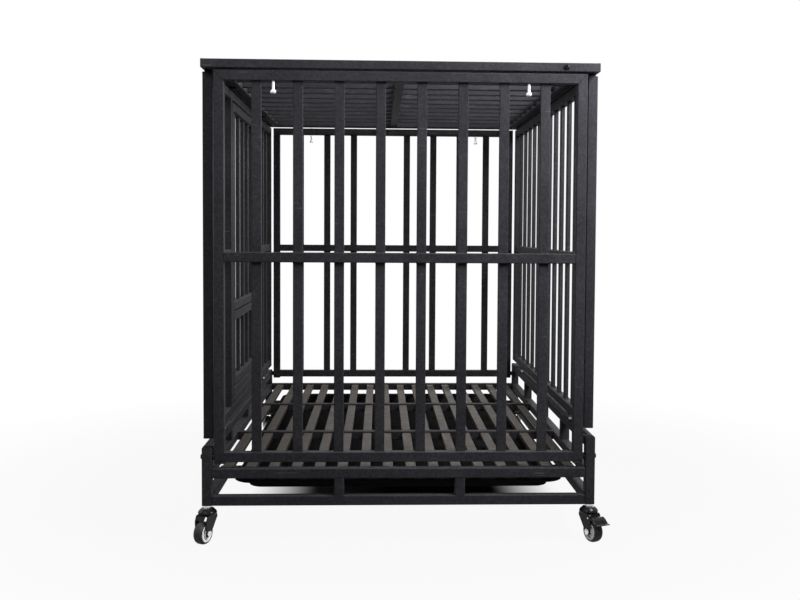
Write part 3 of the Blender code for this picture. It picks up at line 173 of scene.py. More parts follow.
# Doors, and the axis and middle of each of their hinges
DOORWAY = 0.510
DOOR_GAP = 0.003
DOOR_BOTTOM_RAIL = 0.033
DOOR_MID_Z = 0.4335
DOOR_BARS = 6
DOOR_BAR_PITCH = 0.074
DOOR_KNUCKLE = 0.016
DOOR_BARREL = 0.004
DOOR_BORE = 0.0021
DOOR_LEAF = 0.012
LEAF_START = 0.0005
LEAF_THICKNESS = 0.002
WELD_SINK = 0.0005
RIVET_PROFILE = ((0, 0), (0.0019, 0), (0.0016, 0.0011), (0.0008, 0.0015), (0, 0.0016))
RIVET_SINK = 0.0015
RIVET_PLACE = 0.66
BARREL_X = -X_OUT - 0.0045
DOOR_AXIS_Y = DOORWAY / 2 - DOOR_GAP / 2
FEEDER_AXIS_Z = 0.2546
DOOR_HINGES = (("Z", 0.32565), ("Z", 0.77565))
FEEDER_HINGES = (("Y", -0.158), ("Y", 0.158))

# Latches: for each bolt its axis, the way that it is drawn, its place across and its finger's side
LATCH_Z = 0.512
LATCH_BLOCK = 0.011
LATCH_RIM = 0.0006
LATCH_STRAP = 0.0022
LATCH_PLATE_MARGIN = 0.001
LATCH_PLATE_SINK = 0.0006
LATCH_X = -X_OUT - 0.0055
LATCH_SETBACK = 0.001
LATCH_FINGER = 0.005
LATCH_TRAVEL = 0.012
LATCH_REACH = 0.013
LATCH_BOLT_RADIUS = 0.003
LATCH_BOLT_RIM = 0.001
FINGER_RADIUS = 0.0019
FINGER_RIM = 0.0003
FINGER_SHORT = 0.002
KNOB_RADIUS = 0.0024
KEEPER = 0.009
LATCH_BOLTS = {
    "door_latch_bolt": ("Y", 1, LATCH_Z, (0, 0, -1)),
    "feeder_latch_bolt": ("Z", -1, 0, (0, -1, 0)),
}

# Tray and its runners
TRAY_HALF = (0.324, 0.505)
TRAY_BOTTOM = 0.0946
TRAY_CORNER = 0.040
TRAY_WALL = 0.0019
TRAY_DEPTH = 0.0205
TRAY_RIM = 0.022
TRAY_DRAFT = 0.004
TRAY_LIP = 0.002
TRAY_LIP_DROP = 0.006
TRAY_FLOOR_EDGE = 0.05
TRAY_RIBS = 8
TRAY_RIB_PITCH = 0.068
TRAY_RIB = (0.009, 0.0022)
TRAY_RIB_INSET = 0.065
TRAY_RIB_RISE = 0.0002
TRAY_EASE = (0.0024, 4)

# Casters: places, headings in degrees and sizes, along the fork and up from the floor. An ease is how far
# before a profile's corners their rounding starts, and its steps
CASTER_Y = 0.5225
CASTER_HEADINGS = {"front_right": -66, "back_left": 114, "front_left": -114, "back_right": 66}
CASTER_TRAIL = 0.015
WHEEL_RADIUS = 0.0215
WHEEL_HALF = 0.0095
TREAD_WALL = 0.0046
HUB_BORE = 0.0043
HUB_BOSS = 0.0032
TREAD_EASE = (0.0016, 4)
HUB_EASE = (0.0006, 2)
AXLE_RADIUS = 0.004
AXLE_REACH = 0.0035
AXLE_NUT = (0.0062, 0.0025)
AXLE_RIM = 0.0008
STEM_RADIUS = 0.005
STEM_NUT = (0.008, 0.0052)
STEM_FLANGE = 0.0011
STEM_TOP = 0.0717
STEM_FOOT = (0.0068, 0.0018)
STEM_SINK = 0.001
AXLE_NUT_SINK = 0.0001
FORK_LOW = 0.0525
FORK_HEAD = (0.0185, 0.0137)
FORK_OUT = 0.0135
FORK_PLATE = 0.002
FORK_TIP = 0.0075
FORK_CROWN = (-0.0125, 0.0175, 0.0025)
FORK_CROWN_INSET = 0.0002
FORK_EDGE = 0.0007
FORK_CROWN_EDGE = 0.0006
FORK_HEAD_PROFILE = ((0.62, 1.0), (0.80, 0.80), (0.97, 0.55), (1.0, 0.32), (0.90, 0.14), (0.66, 0.0))
FORK_HEAD_EASE = (0.0022, 4)
FORK_LEG_EASE = (0.003, 4)
FORK_LEG_CORNERS = ((0.0235, -0.008), (0.0185, 0.003), (-0.013, 0.003), (-0.0145, -0.004))
PEDAL_PIVOT = (0.0165, 0.0482)
PEDAL_TOP = 0.0522
PEDAL_WIDTH = 0.030
PEDAL_PIN = (0.0016, 0.0143)
PEDAL_OUTLINE = ((0.009, 0.0005), (0.018, 0.0035), (0.0265, 0.011), (0.0325, 0.0105),
                 (0.033, 0.0125), (0.026, 0.014), (0.018, 0.007), (0.009, 0.005))
PEDAL_ARM = ((-0.003, -0.0105, -0.0025), (0.0125, 0.0105, 0.0027))
PEDAL_SHOE = ((0.0005, -0.004, -0.0043), (0.0065, 0.004, -0.001))
PEDAL_EASE = (0.0035, 5)
PEDAL_RIBS = 4
PEDAL_RIB_PITCH = 0.0021
PEDAL_RIB_INSET = 0.005
PEDAL_RIB = (0.0010, 0.0012)

# Pins and bolts. A hinge pin has its axis, its knuckles' length, its radius and the lip at each end
BOLT_RADIUS = 0.003
BOLT_HEAD_RADIUS = 0.0052
BOLT_HEAD_HEIGHT = 0.003
SPACER_RADIUS = 0.0065
SPACER_RIM = 0.0006
END_SIDE_GAP = 0.0053
LOCK_RADIUS = 0.0028
LOCK_HEAD_RADIUS = 0.0058
LOCK_HEAD_HEIGHT = 0.0067
LOCK_TRAVEL = 0.015
LOCK_SOCKET_START = 0.001
SIDE_PIN = ("Y", HINGE_KNUCKLE, 0.002, 0.0012)
DOOR_PIN = ("Z", DOOR_KNUCKLE, 0.0018, 0.001)
FEEDER_PIN = ("Y", DOOR_KNUCKLE, 0.0018, 0.001)
HINGE_PINS = {
    "left_hinge_pin_front": SIDE_PIN, "left_hinge_pin_back": SIDE_PIN,
    "right_hinge_pin_front": SIDE_PIN, "right_hinge_pin_back": SIDE_PIN,
    "door_hinge_pin_lower": DOOR_PIN, "door_hinge_pin_upper": DOOR_PIN,
    "feeder_hinge_pin_front": FEEDER_PIN, "feeder_hinge_pin_back": FEEDER_PIN,
}

BODY_OF = {node: body for body, nodes in frame["record"]["behaviour"]["bodies"].items() for node in nodes}


class CrateCoatSettings(bpy.types.PropertyGroup):
    """Colours and wear of the crate's finishes."""

    coat_colour: FloatVectorProperty(
        name="Powder Coat", description="Colour of the black coating on the tubes",
        subtype="COLOR", size=3, min=0.0, max=1.0, default=(0.0245, 0.0246, 0.0284))
    coat_roughness: FloatProperty(
        name="Coat Roughness", description="Roughness of the coating", subtype="FACTOR",
        min=0.0, max=1.0, default=0.62)
    slat_colour: FloatVectorProperty(
        name="Slat Coat", description="Colour of the floor slats' duller coating",
        subtype="COLOR", size=3, min=0.0, max=1.0, default=(0.036, 0.030, 0.026))
    tray_colour: FloatVectorProperty(
        name="Tray Plastic", description="Colour of the moulded tray",
        subtype="COLOR", size=3, min=0.0, max=1.0, default=(0.0125, 0.0125, 0.0132))
    plate_colour: FloatVectorProperty(
        name="Bright Plate", description="Colour of the plated pins and bolts",
        subtype="COLOR", size=3, min=0.0, max=1.0, default=(0.80, 0.80, 0.82))
    tread_colour: FloatVectorProperty(
        name="Wheel Tread", description="Colour of the caster treads",
        subtype="COLOR", size=3, min=0.0, max=1.0, default=(0.038, 0.038, 0.040))
    grain_size: FloatProperty(
        name="Coat Grain", description="Size of the coating's fine texture", unit="LENGTH",
        min=0.0001, max=0.01, default=0.0011)
    dust_amount: FloatProperty(
        name="Dust", description="How much dust lies on faces that look up", subtype="FACTOR",
        min=0.0, max=1.0, default=0.35)


class CrateTubeSettings(bpy.types.PropertyGroup):
    """Sizes of the tubes' rounded corners, the welds and the lid slats."""

    tube_corner: FloatProperty(
        name="Tube Corner", description="Radius along the edges of the square tubes", unit="LENGTH",
        min=0.0002, max=0.006, default=0.0018)
    bar_corner: FloatProperty(
        name="Bar Corner", description="Radius along the edges of the flat bars", unit="LENGTH",
        min=0.0002, max=0.0035, default=0.0012)
    bar_bead: FloatProperty(
        name="Bar Weld", description="Radius of the weld bead round each bar's end", unit="LENGTH",
        min=0.0002, max=0.003, default=0.0011)
    tube_bead: FloatProperty(
        name="Tube Weld", description="Radius of the ground bead round each tube's end", unit="LENGTH",
        min=0.0001, max=0.001, default=0.00035)
    # The mitre seam's rod is drawn in black oxide as painted shade, a dark line standing in for the shadow in
    # the mitre's groove
    mitre_seam_shade: FloatProperty(
        name="Mitre Seam", description="Radius of the ground seam across each mitred corner", unit="LENGTH",
        min=0.0001, max=0.0008, default=0.0005)
    lid_slat_depth: FloatProperty(
        name="Lid Slat Depth", description="Height of the flat bars across the lid", unit="LENGTH",
        min=0.004, max=0.014, default=0.0098)


class CrateStageSettings(bpy.types.PropertyGroup):
    """Camera, floor and studio light."""

    lens: FloatProperty(
        name="Lens", description="Focal length of the camera in millimetres",
        min=10.0, max=200.0, default=CAMERA_LENS)
    floor_size: FloatProperty(
        name="Floor Size", description="Side of the pale floor", unit="LENGTH",
        min=2.0, max=60.0, default=40.0)
    key_power: FloatProperty(
        name="Key Light", description="Power of the light at the upper right, which the others follow",
        unit="POWER", min=0.0, max=500.0, default=30.0)
    sky_strength: FloatProperty(
        name="Surround", description="Strength of the even surround light",
        min=0.0, max=2.0, default=0.03)


FLOAT, VECTOR = "NodeSocketFloat", "NodeSocketVector"


def add_node(tree, kind, values=None, **settings):
    """A node with its properties set, and its inputs linked to sockets or set to values."""
    node = tree.nodes.new(kind)
    for label, value in settings.items():
        setattr(node, label, value)
    for key, value in (values or {}).items():
        if isinstance(value, bpy.types.NodeSocket):
            tree.links.new(value, node.inputs[key])
        else:
            node.inputs[key].default_value = value
    return node


def geo(tree, kind, values=None, **settings):
    """The first output of a new node."""
    return add_node(tree, kind, values, **settings).outputs[0]


def math_node(tree, operation, first, second=None, clamp=False):
    """A Math node whose inputs are sockets or numbers."""
    values = {0: first} if second is None else {0: first, 1: second}
    return geo(tree, "ShaderNodeMath", values, operation=operation, use_clamp=clamp)


def plus(tree, first, second, clamp=False):
    return math_node(tree, "ADD", first, second, clamp)


def minus(tree, first, second):
    return math_node(tree, "SUBTRACT", first, second)


def times(tree, first, second, clamp=False):
    return math_node(tree, "MULTIPLY", first, second, clamp)


def separated(tree, vector):
    """The X, Y and Z outputs of a vector."""
    return add_node(tree, "ShaderNodeSeparateXYZ", {0: vector}).outputs


def noise_node(tree, vector, scale, detail=2.0, roughness=0.5):
    return geo(tree, "ShaderNodeTexNoise", {
        "Vector": vector, "Scale": scale, "Detail": detail, "Roughness": roughness})


def range_node(tree, value, low, high, to_low=0.0, to_high=1.0):
    """A value eased from one range into another."""
    return geo(tree, "ShaderNodeMapRange", {
        "Value": value, "From Min": low, "From Max": high, "To Min": to_low, "To Max": to_high,
    }, interpolation_type="SMOOTHSTEP")


def mix_colour(tree, factor, first, second):
    """A mix of two colours, each a socket or three numbers."""
    colours = [colour if isinstance(colour, bpy.types.NodeSocket) else (*colour, 1.0)
               for colour in (first, second)]
    mix = add_node(tree, "ShaderNodeMix", {"Factor": factor, 6: colours[0], 7: colours[1]}, data_type="RGBA")
    return mix.outputs[2]


def object_coordinates(tree):
    return tree.nodes.new("ShaderNodeTexCoord").outputs["Object"]


def facing_up(tree, low, high):
    """A mask of the faces that look up, eased between two heights of the normal."""
    normal = tree.nodes.new("ShaderNodeNewGeometry").outputs["Normal"]
    return range_node(tree, separated(tree, normal)["Z"], low, high)


def shades(colour, *factors):
    """A colour made lighter or darker by each factor."""
    return [tuple(value * factor for value in colour) for factor in factors]


def new_group(name, inputs, outputs):
    """A shader node group with named inputs and float outputs, and the sockets inside it."""
    group = bpy.data.node_groups.new(name, "ShaderNodeTree")
    for label, kind, default in inputs:
        socket = group.interface.new_socket(label, in_out="INPUT", socket_type=kind)
        socket.default_value = default
    for label in outputs:
        group.interface.new_socket(label, in_out="OUTPUT", socket_type=FLOAT)
    return group, group.nodes.new("NodeGroupInput").outputs, group.nodes.new("NodeGroupOutput").inputs


def coat_grain_group():
    """Fine powder-coat texture: a height for Bump, a roughness that swings a little, and broad patches."""
    group, given, result = new_group("Coat Grain", [
        ("Vector", VECTOR, (0, 0, 0)), ("Grain Scale", FLOAT, 900.0),
        ("Roughness", FLOAT, 0.45), ("Roughness Swing", FLOAT, 0.08),
    ], ["Height", "Roughness", "Patches"])
    vector, scale = given["Vector"], given["Grain Scale"]
    fine = noise_node(group, vector, scale, 2.0, 0.6)
    orange_peel = noise_node(group, vector, times(group, scale, 0.22), 1.0, 0.5)
    height = plus(group, times(group, fine, 0.55), times(group, orange_peel, 0.6))
    patches = noise_node(group, vector, 7.0, 3.0, 0.55)
    swing = times(group, times(group, minus(group, patches, 0.5), given["Roughness Swing"]), 2.0)
    speckle = times(group, minus(group, fine, 0.5), 0.10)
    rough = plus(group, plus(group, given["Roughness"], swing), speckle, clamp=True)
    group.links.new(height, result["Height"])
    group.links.new(rough, result["Roughness"])
    group.links.new(patches, result["Patches"])
    return group


def dust_group():
    """A mask of dust on faces that look up, broken up by noise."""
    group, given, result = new_group("Settled Dust", [
        ("Vector", VECTOR, (0, 0, 0)), ("Amount", FLOAT, 0.3), ("Blotch Scale", FLOAT, 35.0),
    ], ["Mask"])
    blotches = noise_node(group, given["Vector"], given["Blotch Scale"], 4.0, 0.65)
    lying = times(group, facing_up(group, 0.35, 0.95), range_node(group, blotches, 0.35, 0.75))
    group.links.new(times(group, lying, given["Amount"], clamp=True), result["Mask"])
    return group


def scuff_group():
    """Thin scratches and tiny chips: a mask of where the coating is rubbed lighter."""
    group, given, result = new_group("Scuffs", [
        ("Vector", VECTOR, (0, 0, 0)), ("Amount", FLOAT, 0.5),
    ], ["Mask"])
    vector = given["Vector"]
    scratches = []
    for turned, stretch in (((0.3, 0.2, 0.5), (25.0, 900.0, 700.0)), ((1.1, 0.7, 0.2), (800.0, 30.0, 900.0))):
        streaks = geo(group, "ShaderNodeMapping", {"Vector": vector, "Rotation": turned, "Scale": stretch})
        scratches.append(range_node(group, noise_node(group, streaks, 1.0, 0.0, 0.4), 0.72, 0.80))
    patches = range_node(group, noise_node(group, vector, 14.0, 3.0, 0.6), 0.52, 0.66)
    chips = range_node(group, noise_node(group, vector, 420.0, 1.0, 0.4), 0.765, 0.80)
    in_patches = times(group, math_node(group, "MAXIMUM", *scratches), patches)
    total = math_node(group, "MAXIMUM", in_patches, chips)
    group.links.new(times(group, total, given["Amount"], clamp=True), result["Mask"])
    return group


def placed(tree, group, **values):
    """The outputs of a group node in a material, with its named inputs set or linked."""
    named = {label.replace("_", " "): value for label, value in values.items()}
    return add_node(tree, "ShaderNodeGroup", named, node_tree=group).outputs


def new_material(name, **shader_values):
    """A material, its tree and its Principled shader with the constants set."""
    material = bpy.data.materials.new(name)
    material.use_nodes = True
    tree = material.node_tree
    shader = tree.nodes["Principled BSDF"]
    for label, value in shader_values.items():
        shader.inputs[label.replace("_", " ")].default_value = value
    return material, tree, shader


def link_roughness(tree, shader, pattern, swing, base):
    tree.links.new(plus(tree, times(tree, pattern, swing), base), shader.inputs["Roughness"])


def link_bump(tree, shader, height, strength, distance):
    bump = geo(tree, "ShaderNodeBump", {"Height": height, "Strength": strength, "Distance": distance})
    tree.links.new(bump, shader.inputs["Normal"])


def coated_material(name, groups, colour, spread, roughness, grain, dust, dust_colour, scuffs, specular):
    """Powder-coated steel between two shades of its colour, with fine grain, light dust and a few scuffs."""
    material, tree, shader = new_material(name, Specular_IOR_Level=specular)
    vector = object_coordinates(tree)
    coat = placed(tree, groups["grain"], Vector=vector, Grain_Scale=1.0 / grain, Roughness=roughness)
    dusty = placed(tree, groups["dust"], Vector=vector, Amount=dust)["Mask"]
    rubbed = placed(tree, groups["scuffs"], Vector=vector, Amount=scuffs)["Mask"]
    patches = range_node(tree, coat["Patches"], 0.3, 0.7, 0.0, 0.4)
    mottle = range_node(tree, coat["Height"], 0.44, 0.72, 0.0, 0.6)
    base = mix_colour(tree, plus(tree, patches, mottle), *shades(colour, *spread))
    scuffed = mix_colour(tree, rubbed, base, RUBBED_COAT)
    tree.links.new(mix_colour(tree, dusty, scuffed, dust_colour), shader.inputs["Base Color"])
    rougher = plus(tree, coat["Roughness"], times(tree, dusty, 0.35), clamp=True)
    tree.links.new(rougher, shader.inputs["Roughness"])
    link_bump(tree, shader, coat["Height"], 0.35, 0.00012)
    return material


def mottled_material(name, colours, mottle, spread, sheen, roughness, grain, bump, dust=None, **constants):
    """A finish whose colour, roughness and relief follow noise, given by its scale, detail and roughness.

    Without a spread the colours mix by the bare noise, and without a sheen the roughness follows the colours.
    """
    material, tree, shader = new_material(name, **constants)
    vector = object_coordinates(tree)
    mask = noise_node(tree, vector, *mottle)
    if spread:
        mask = range_node(tree, mask, *spread)
    colour = mix_colour(tree, mask, *colours)
    if dust:
        group, amount, scale, dust_colour = dust
        dusty = placed(tree, group, Vector=vector, Amount=amount, Blotch_Scale=scale)["Mask"]
        colour = mix_colour(tree, dusty, colour, dust_colour)
    tree.links.new(colour, shader.inputs["Base Color"])
    link_roughness(tree, shader, noise_node(tree, vector, *sheen) if sheen else mask, *roughness)
    link_bump(tree, shader, noise_node(tree, vector, grain), *bump)
    return material


def tray_material(settings, groups):
    """Moulded plastic with a fine stipple, with painted light and shade: sides painted lighter as if lit,
    faces that look up painted darker as shade.
    """
    material, tree, shader = new_material("tray plastic", Specular_IOR_Level=0.02)
    vector = object_coordinates(tree)
    # Painted light and shade: the sides are three times lighter to stand in for light falling on them, and
    # the faces that look up are darker to stand in for shade
    plain, sides, shaded_inside = shades(settings.tray_colour, 1.0, 3.0, 0.7)
    painted_light_by_facing = mix_colour(tree, facing_up(tree, 0.3, 0.9), sides, shaded_inside)
    worn = range_node(tree, noise_node(tree, vector, 9.0), 0.3, 0.7, 0.0, 0.5)
    base = mix_colour(tree, worn, painted_light_by_facing, plain)
    dusty = placed(tree, groups["dust"], Vector=vector, Amount=0.05, Blotch_Scale=18.0)["Mask"]
    tree.links.new(mix_colour(tree, dusty, base, TRAY_DUST), shader.inputs["Base Color"])
    link_roughness(tree, shader, noise_node(tree, vector, 30.0), 0.14, 0.84)
    stipple = add_node(tree, "ShaderNodeTexVoronoi", {"Vector": vector, "Scale": 700.0})
    link_bump(tree, shader, stipple.outputs["Distance"], 0.3, 0.0001)
    return material


def build_materials(settings):
    """Every finish by its short name."""
    groups = {"grain": coat_grain_group(), "dust": dust_group(), "scuffs": scuff_group()}
    plating = {"mottle": (160.0, 3.0, 0.6), "spread": (0.3, 0.75), "sheen": (420.0, 2.0, 0.6), "grain": 900.0,
               "bump": (0.15, 0.00005), "Metallic": 1.0}
    return {
        "frame": coated_material(
            "black powder coat", groups, settings.coat_colour, (0.85, 1.65), settings.coat_roughness,
            settings.grain_size, settings.dust_amount, COAT_DUST, scuffs=0.5, specular=0.035),
        "slats": coated_material(
            "worn slat coat", groups, settings.slat_colour, (1.0, 1.55), 0.52,
            settings.grain_size, 0.8, SLAT_DUST, scuffs=0.8, specular=0.06),
        "chrome": mottled_material(
            "bright plate", shades(settings.plate_colour, 1.0, 0.72), roughness=(0.16, 0.30), **plating),
        "bolt": mottled_material(
            "black oxide", shades(BLACK_OXIDE, 1.0, 0.72), roughness=(0.16, 0.28), **plating),
        "tray": tray_material(settings, groups),
        "caster": mottled_material(
            "caster black", CASTER_BLACKS, mottle=(60.0,), spread=None, sheen=(240.0, 3.0, 0.6),
            roughness=(0.18, 0.12), grain=380.0, bump=(0.12, 0.0001),
            dust=(groups["dust"], 0.12, 120.0, CASTER_DUST), Specular_IOR_Level=0.10),
        "tread": mottled_material(
            "wheel tread", shades(settings.tread_colour, 1.0, 2.1), mottle=(110.0, 4.0, 0.65),
            spread=(0.4, 0.7), sheen=None, roughness=(0.2, 0.5), grain=800.0, bump=(0.3, 0.0001),
            Specular_IOR_Level=0.10),
        "hub": mottled_material(
            "white hub", HUB_WHITES, mottle=(150.0, 3.0, 0.6), spread=(0.45, 0.8), sheen=(300.0,),
            roughness=(0.15, 0.28), grain=500.0, bump=(0.1, 0.0001), Specular_IOR_Level=0.5),
    }


SLOT_FINISH = {
    "black_frame": "frame", "slat_steel": "slats", "chrome": "chrome", "black_bolt": "bolt",
    "tray_plastic": "tray", "caster_black": "caster", "wheel_rubber": "tread",
}
FINISHES = {}


class CRATE_OT_coat_nodes(bpy.types.Operator):
    """Make the finishes and give every carried-over solid its own"""

    bl_idname = "crate.coat_nodes"
    bl_label = "Coat the Solids"

    def execute(self, context):
        FINISHES.update(build_materials(context.scene.crate_coat))
        slots = {part["node"]: part["material_slot"] for part in frame["record"]["subparts"]}
        for name, node in frame["nodes"].items():
            node.data.materials.clear()
            node.data.materials.append(FINISHES[SLOT_FINISH[slots[name]]])
        return {"FINISHED"}


def geometry_tree(name, inputs):
    """A Geometry Nodes tree with named inputs and one geometry output."""
    tree = bpy.data.node_groups.new(name, "GeometryNodeTree")
    tree.interface.new_socket("Geometry", in_out="INPUT", socket_type="NodeSocketGeometry")
    for label, kind, default in inputs:
        socket = tree.interface.new_socket(label, in_out="INPUT", socket_type=kind)
        if default is not None:
            socket.default_value = default
    tree.interface.new_socket("Geometry", in_out="OUTPUT", socket_type="NodeSocketGeometry")
    return tree, tree.nodes.new("NodeGroupInput").outputs, tree.nodes.new("NodeGroupOutput").inputs[0]


def vector_of(tree, x=0.0, y=0.0, z=0.0):
    return geo(tree, "ShaderNodeCombineXYZ", {"X": x, "Y": y, "Z": z})


def rounded_profile(tree, width, depth, radius):
    """A rectangle with rounded corners."""
    outline = geo(tree, "GeometryNodeCurvePrimitiveQuadrilateral", {"Width": width, "Height": depth})
    return geo(tree, "GeometryNodeFilletCurve", {
        "Curve": outline, "Count": CORNER_FACETS, "Radius": radius, "Limit Radius": True}, mode="POLY")


def swept(tree, route, profile, caps=False):
    return geo(tree, "GeometryNodeCurveToMesh", {"Curve": route, "Profile Curve": profile, "Fill Caps": caps})


def joined(tree, *geometries):
    join = tree.nodes.new("GeometryNodeJoinGeometry")
    for geometry in geometries:
        tree.links.new(geometry, join.inputs[0])
    return join.outputs[0]


def realized(tree, geometry):
    return geo(tree, "GeometryNodeRealizeInstances", {"Geometry": geometry})


def finish_tree(tree, geometry, material, output):
    plain = realized(tree, geometry)
    shaded = geo(tree, "GeometryNodeSetShadeSmooth", {"Geometry": plain, "Shade Smooth": True})
    tree.links.new(geo(tree, "GeometryNodeSetMaterial", {"Geometry": shaded, "Material": material}), output)


def ring_tree():
    """A mitred ring of rounded square tube in X and Y: the corner sections are stretched along the mitre."""
    tree, given, output = geometry_tree("Mitred Ring", [
        ("Width", FLOAT, 0.7), ("Height", FLOAT, 0.9), ("Tube", FLOAT, TUBE), ("Depth", FLOAT, TUBE),
        ("Corner Radius", FLOAT, 0.0018), ("Material", "NodeSocketMaterial", None)])
    across = minus(tree, given["Width"], given["Tube"])
    along = minus(tree, given["Height"], given["Tube"])
    route = geo(tree, "GeometryNodeCurvePrimitiveQuadrilateral", {"Width": across, "Height": along})
    ring = swept(tree, route, rounded_profile(tree, given["Tube"], given["Depth"], given["Corner Radius"]))
    place = separated(tree, geo(tree, "GeometryNodeInputPosition"))
    mitred = []
    for axis, size in (("X", across), ("Y", along)):
        half = times(tree, size, 0.5)
        offset = minus(tree, math_node(tree, "ABSOLUTE", place[axis]), half)
        stretched = plus(tree, half, times(tree, offset, math.sqrt(2)))
        mitred.append(times(tree, stretched, math_node(tree, "SIGN", place[axis])))
    moved = vector_of(tree, *mitred, place["Z"])
    finish_tree(tree, geo(tree, "GeometryNodeSetPosition", {"Geometry": ring, "Position": moved}),
                given["Material"], output)
    return tree


def row_tree():
    """A row of rounded bars along Y, spaced along X, each welded at both ends with a rippled bead."""
    tree, given, output = geometry_tree("Welded Bar Row", [
        ("Count", "NodeSocketInt", 8), ("Pitch", FLOAT, 0.079), ("Length", FLOAT, 0.4),
        ("Bar Width", FLOAT, BAR_WIDTH), ("Bar Depth", FLOAT, BAR_THICKNESS),
        ("Corner Radius", FLOAT, 0.0012), ("Bead Radius", FLOAT, 0.0011), ("Beads", "NodeSocketBool", True),
        ("Seed", FLOAT, 3.0), ("Material", "NodeSocketMaterial", None)])
    start = times(tree, times(tree, minus(tree, given["Count"], 1.0), given["Pitch"]), -0.5)
    spots = geo(tree, "GeometryNodeMeshLine", {
        "Count": given["Count"], "Start Location": vector_of(tree, start),
        "Offset": vector_of(tree, given["Pitch"])})
    half = times(tree, given["Length"], 0.5)
    below = times(tree, half, -1.0)
    route = geo(tree, "GeometryNodeCurvePrimitiveLine", {
        "Start": vector_of(tree, y=below), "End": vector_of(tree, y=half)})
    section = rounded_profile(tree, given["Bar Width"], given["Bar Depth"], given["Corner Radius"])
    bars = geo(tree, "GeometryNodeInstanceOnPoints", {
        "Points": spots, "Instance": swept(tree, route, section, caps=True)})
    bead_route = geo(tree, "GeometryNodeResampleCurve", {"Curve": section, "Count": BEAD_RIPPLES})
    bead_section = geo(tree, "GeometryNodeCurvePrimitiveCircle", {
        "Resolution": BEAD_SIDES, "Radius": given["Bead Radius"]})
    bead = swept(tree, bead_route, bead_section)
    ends = [geo(tree, "GeometryNodeTransform", {
        "Geometry": bead, "Translation": vector_of(tree, y=height), "Rotation": (math.radians(90), 0, 0)})
        for height in (below, half)]
    beads = geo(tree, "GeometryNodeInstanceOnPoints", {"Points": spots, "Instance": joined(tree, *ends)})
    ripple = geo(tree, "ShaderNodeTexNoise", {"W": given["Seed"], "Scale": RIPPLE_SCALE, "Detail": 1.0},
                 noise_dimensions="4D")
    swell = times(tree, minus(tree, ripple, 0.5), given["Bead Radius"])
    push = geo(tree, "ShaderNodeVectorMath", {0: geo(tree, "GeometryNodeInputNormal"), "Scale": swell},
               operation="SCALE")
    beads = geo(tree, "GeometryNodeSetPosition", {"Geometry": realized(tree, beads), "Offset": push})
    beads = geo(tree, "GeometryNodeSwitch", {"Switch": given["Beads"], "True": beads}, input_type="GEOMETRY")
    finish_tree(tree, joined(tree, bars, beads), given["Material"], output)
    return tree


TREES = {}


def tree_mesh(kind, **values):
    """Evaluates a tree with its inputs set by socket identifier and returns a plain mesh."""
    if not TREES:
        TREES.update(ring=ring_tree(), row=row_tree())
    tree = TREES[kind]
    holder = bpy.data.objects.new(kind, bpy.data.meshes.new(kind))
    bpy.context.scene.collection.objects.link(holder)
    modifier = holder.modifiers.new(kind, "NODES")
    modifier.node_group = tree
    sockets = {item.name: item.identifier for item in tree.interface.items_tree if item.in_out == "INPUT"}
    for label, value in values.items():
        modifier[sockets[label.replace("_", " ")]] = value
    graph = bpy.context.evaluated_depsgraph_get()
    mesh = bpy.data.meshes.new_from_object(holder.evaluated_get(graph))
    bpy.data.objects.remove(holder, do_unlink=True)
    return mesh


def drilled(mesh, sockets):
    """The mesh with round blind holes, each given as its centre's X and Y, its two heights and its radius."""
    cutter = bmesh.new()
    for x, y, low, high, radius in sockets:
        bmesh.ops.create_cone(cutter, cap_ends=True, segments=STEPS["rod"], radius1=radius, radius2=radius,
                              depth=high - low, matrix=Matrix.Translation((x, y, (low + high) / 2)))
    drills = bpy.data.meshes.new("drills")
    cutter.to_mesh(drills)
    cutter.free()
    body, tool = bpy.data.objects.new("body", mesh), bpy.data.objects.new("drills", drills)
    for thing in (body, tool):
        bpy.context.scene.collection.objects.link(thing)
    cut = body.modifiers.new("holes", "BOOLEAN")
    cut.operation, cut.solver, cut.object = "DIFFERENCE", "EXACT", tool
    result = bpy.data.meshes.new_from_object(body.evaluated_get(bpy.context.evaluated_depsgraph_get()))
    for thing in (body, tool):
        spare = thing.data
        bpy.data.objects.remove(thing, do_unlink=True)
        bpy.data.meshes.remove(spare)
    return result


def shift(x=0.0, y=0.0, z=0.0):
    return Matrix.Translation((x, y, z))


def turn(degrees, axis):
    return Matrix.Rotation(math.radians(degrees), 4, axis)


def standing(foot, upward):
    """The matrix that stands local Z on a point, in a direction."""
    return Matrix.Translation(foot) @ upward.to_track_quat("Z", "Y").to_matrix().to_4x4()


# Local X, Y and Z of a flat panel turned to the crate's axes, and of a turned piece laid down
FACING_Y = Matrix(((1, 0, 0), (0, 0, -1), (0, 1, 0))).to_4x4()
FACING_X = Matrix(((0, 0, 1), (1, 0, 0), (0, 1, 0))).to_4x4()
AS_IT_IS = Matrix.Identity(4)
QUARTER = turn(90, "Z")
UPRIGHT_TO_Y = turn(-90, "X")
UPRIGHT_TO_X = turn(90, "Y")
LAID_ALONG = {"Y": UPRIGHT_TO_Y, "Z": AS_IT_IS}


def centre_of(low, high):
    return (low + high) / 2


def corners_of(node):
    low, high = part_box(node)
    return Vector(low), Vector(high)


def mirrored(profile):
    """The other half of a turned profile, below zero, in the order that goes on from the first half."""
    return [(radius, -height) for radius, height in reversed(profile)]


def eased(points, reach, steps=3, closed=False):
    """A line of points with each corner rounded by a short curve that starts the given length before it."""
    result = []
    for index, corner in enumerate(points):
        if not closed and index in (0, len(points) - 1):
            result.append(tuple(corner))
            continue
        corner = Vector(corner)
        ends = []
        for near in (points[index - 1], points[(index + 1) % len(points)]):
            side = Vector(near) - corner
            ends.append(corner + side.normalized() * min(reach, side.length * 0.45))
        for step in range(steps + 1):
            part = step / steps
            curved = ends[0] * (1 - part) ** 2 + corner * 2 * part * (1 - part) + ends[1] * part ** 2
            result.append(tuple(curved))
    return result


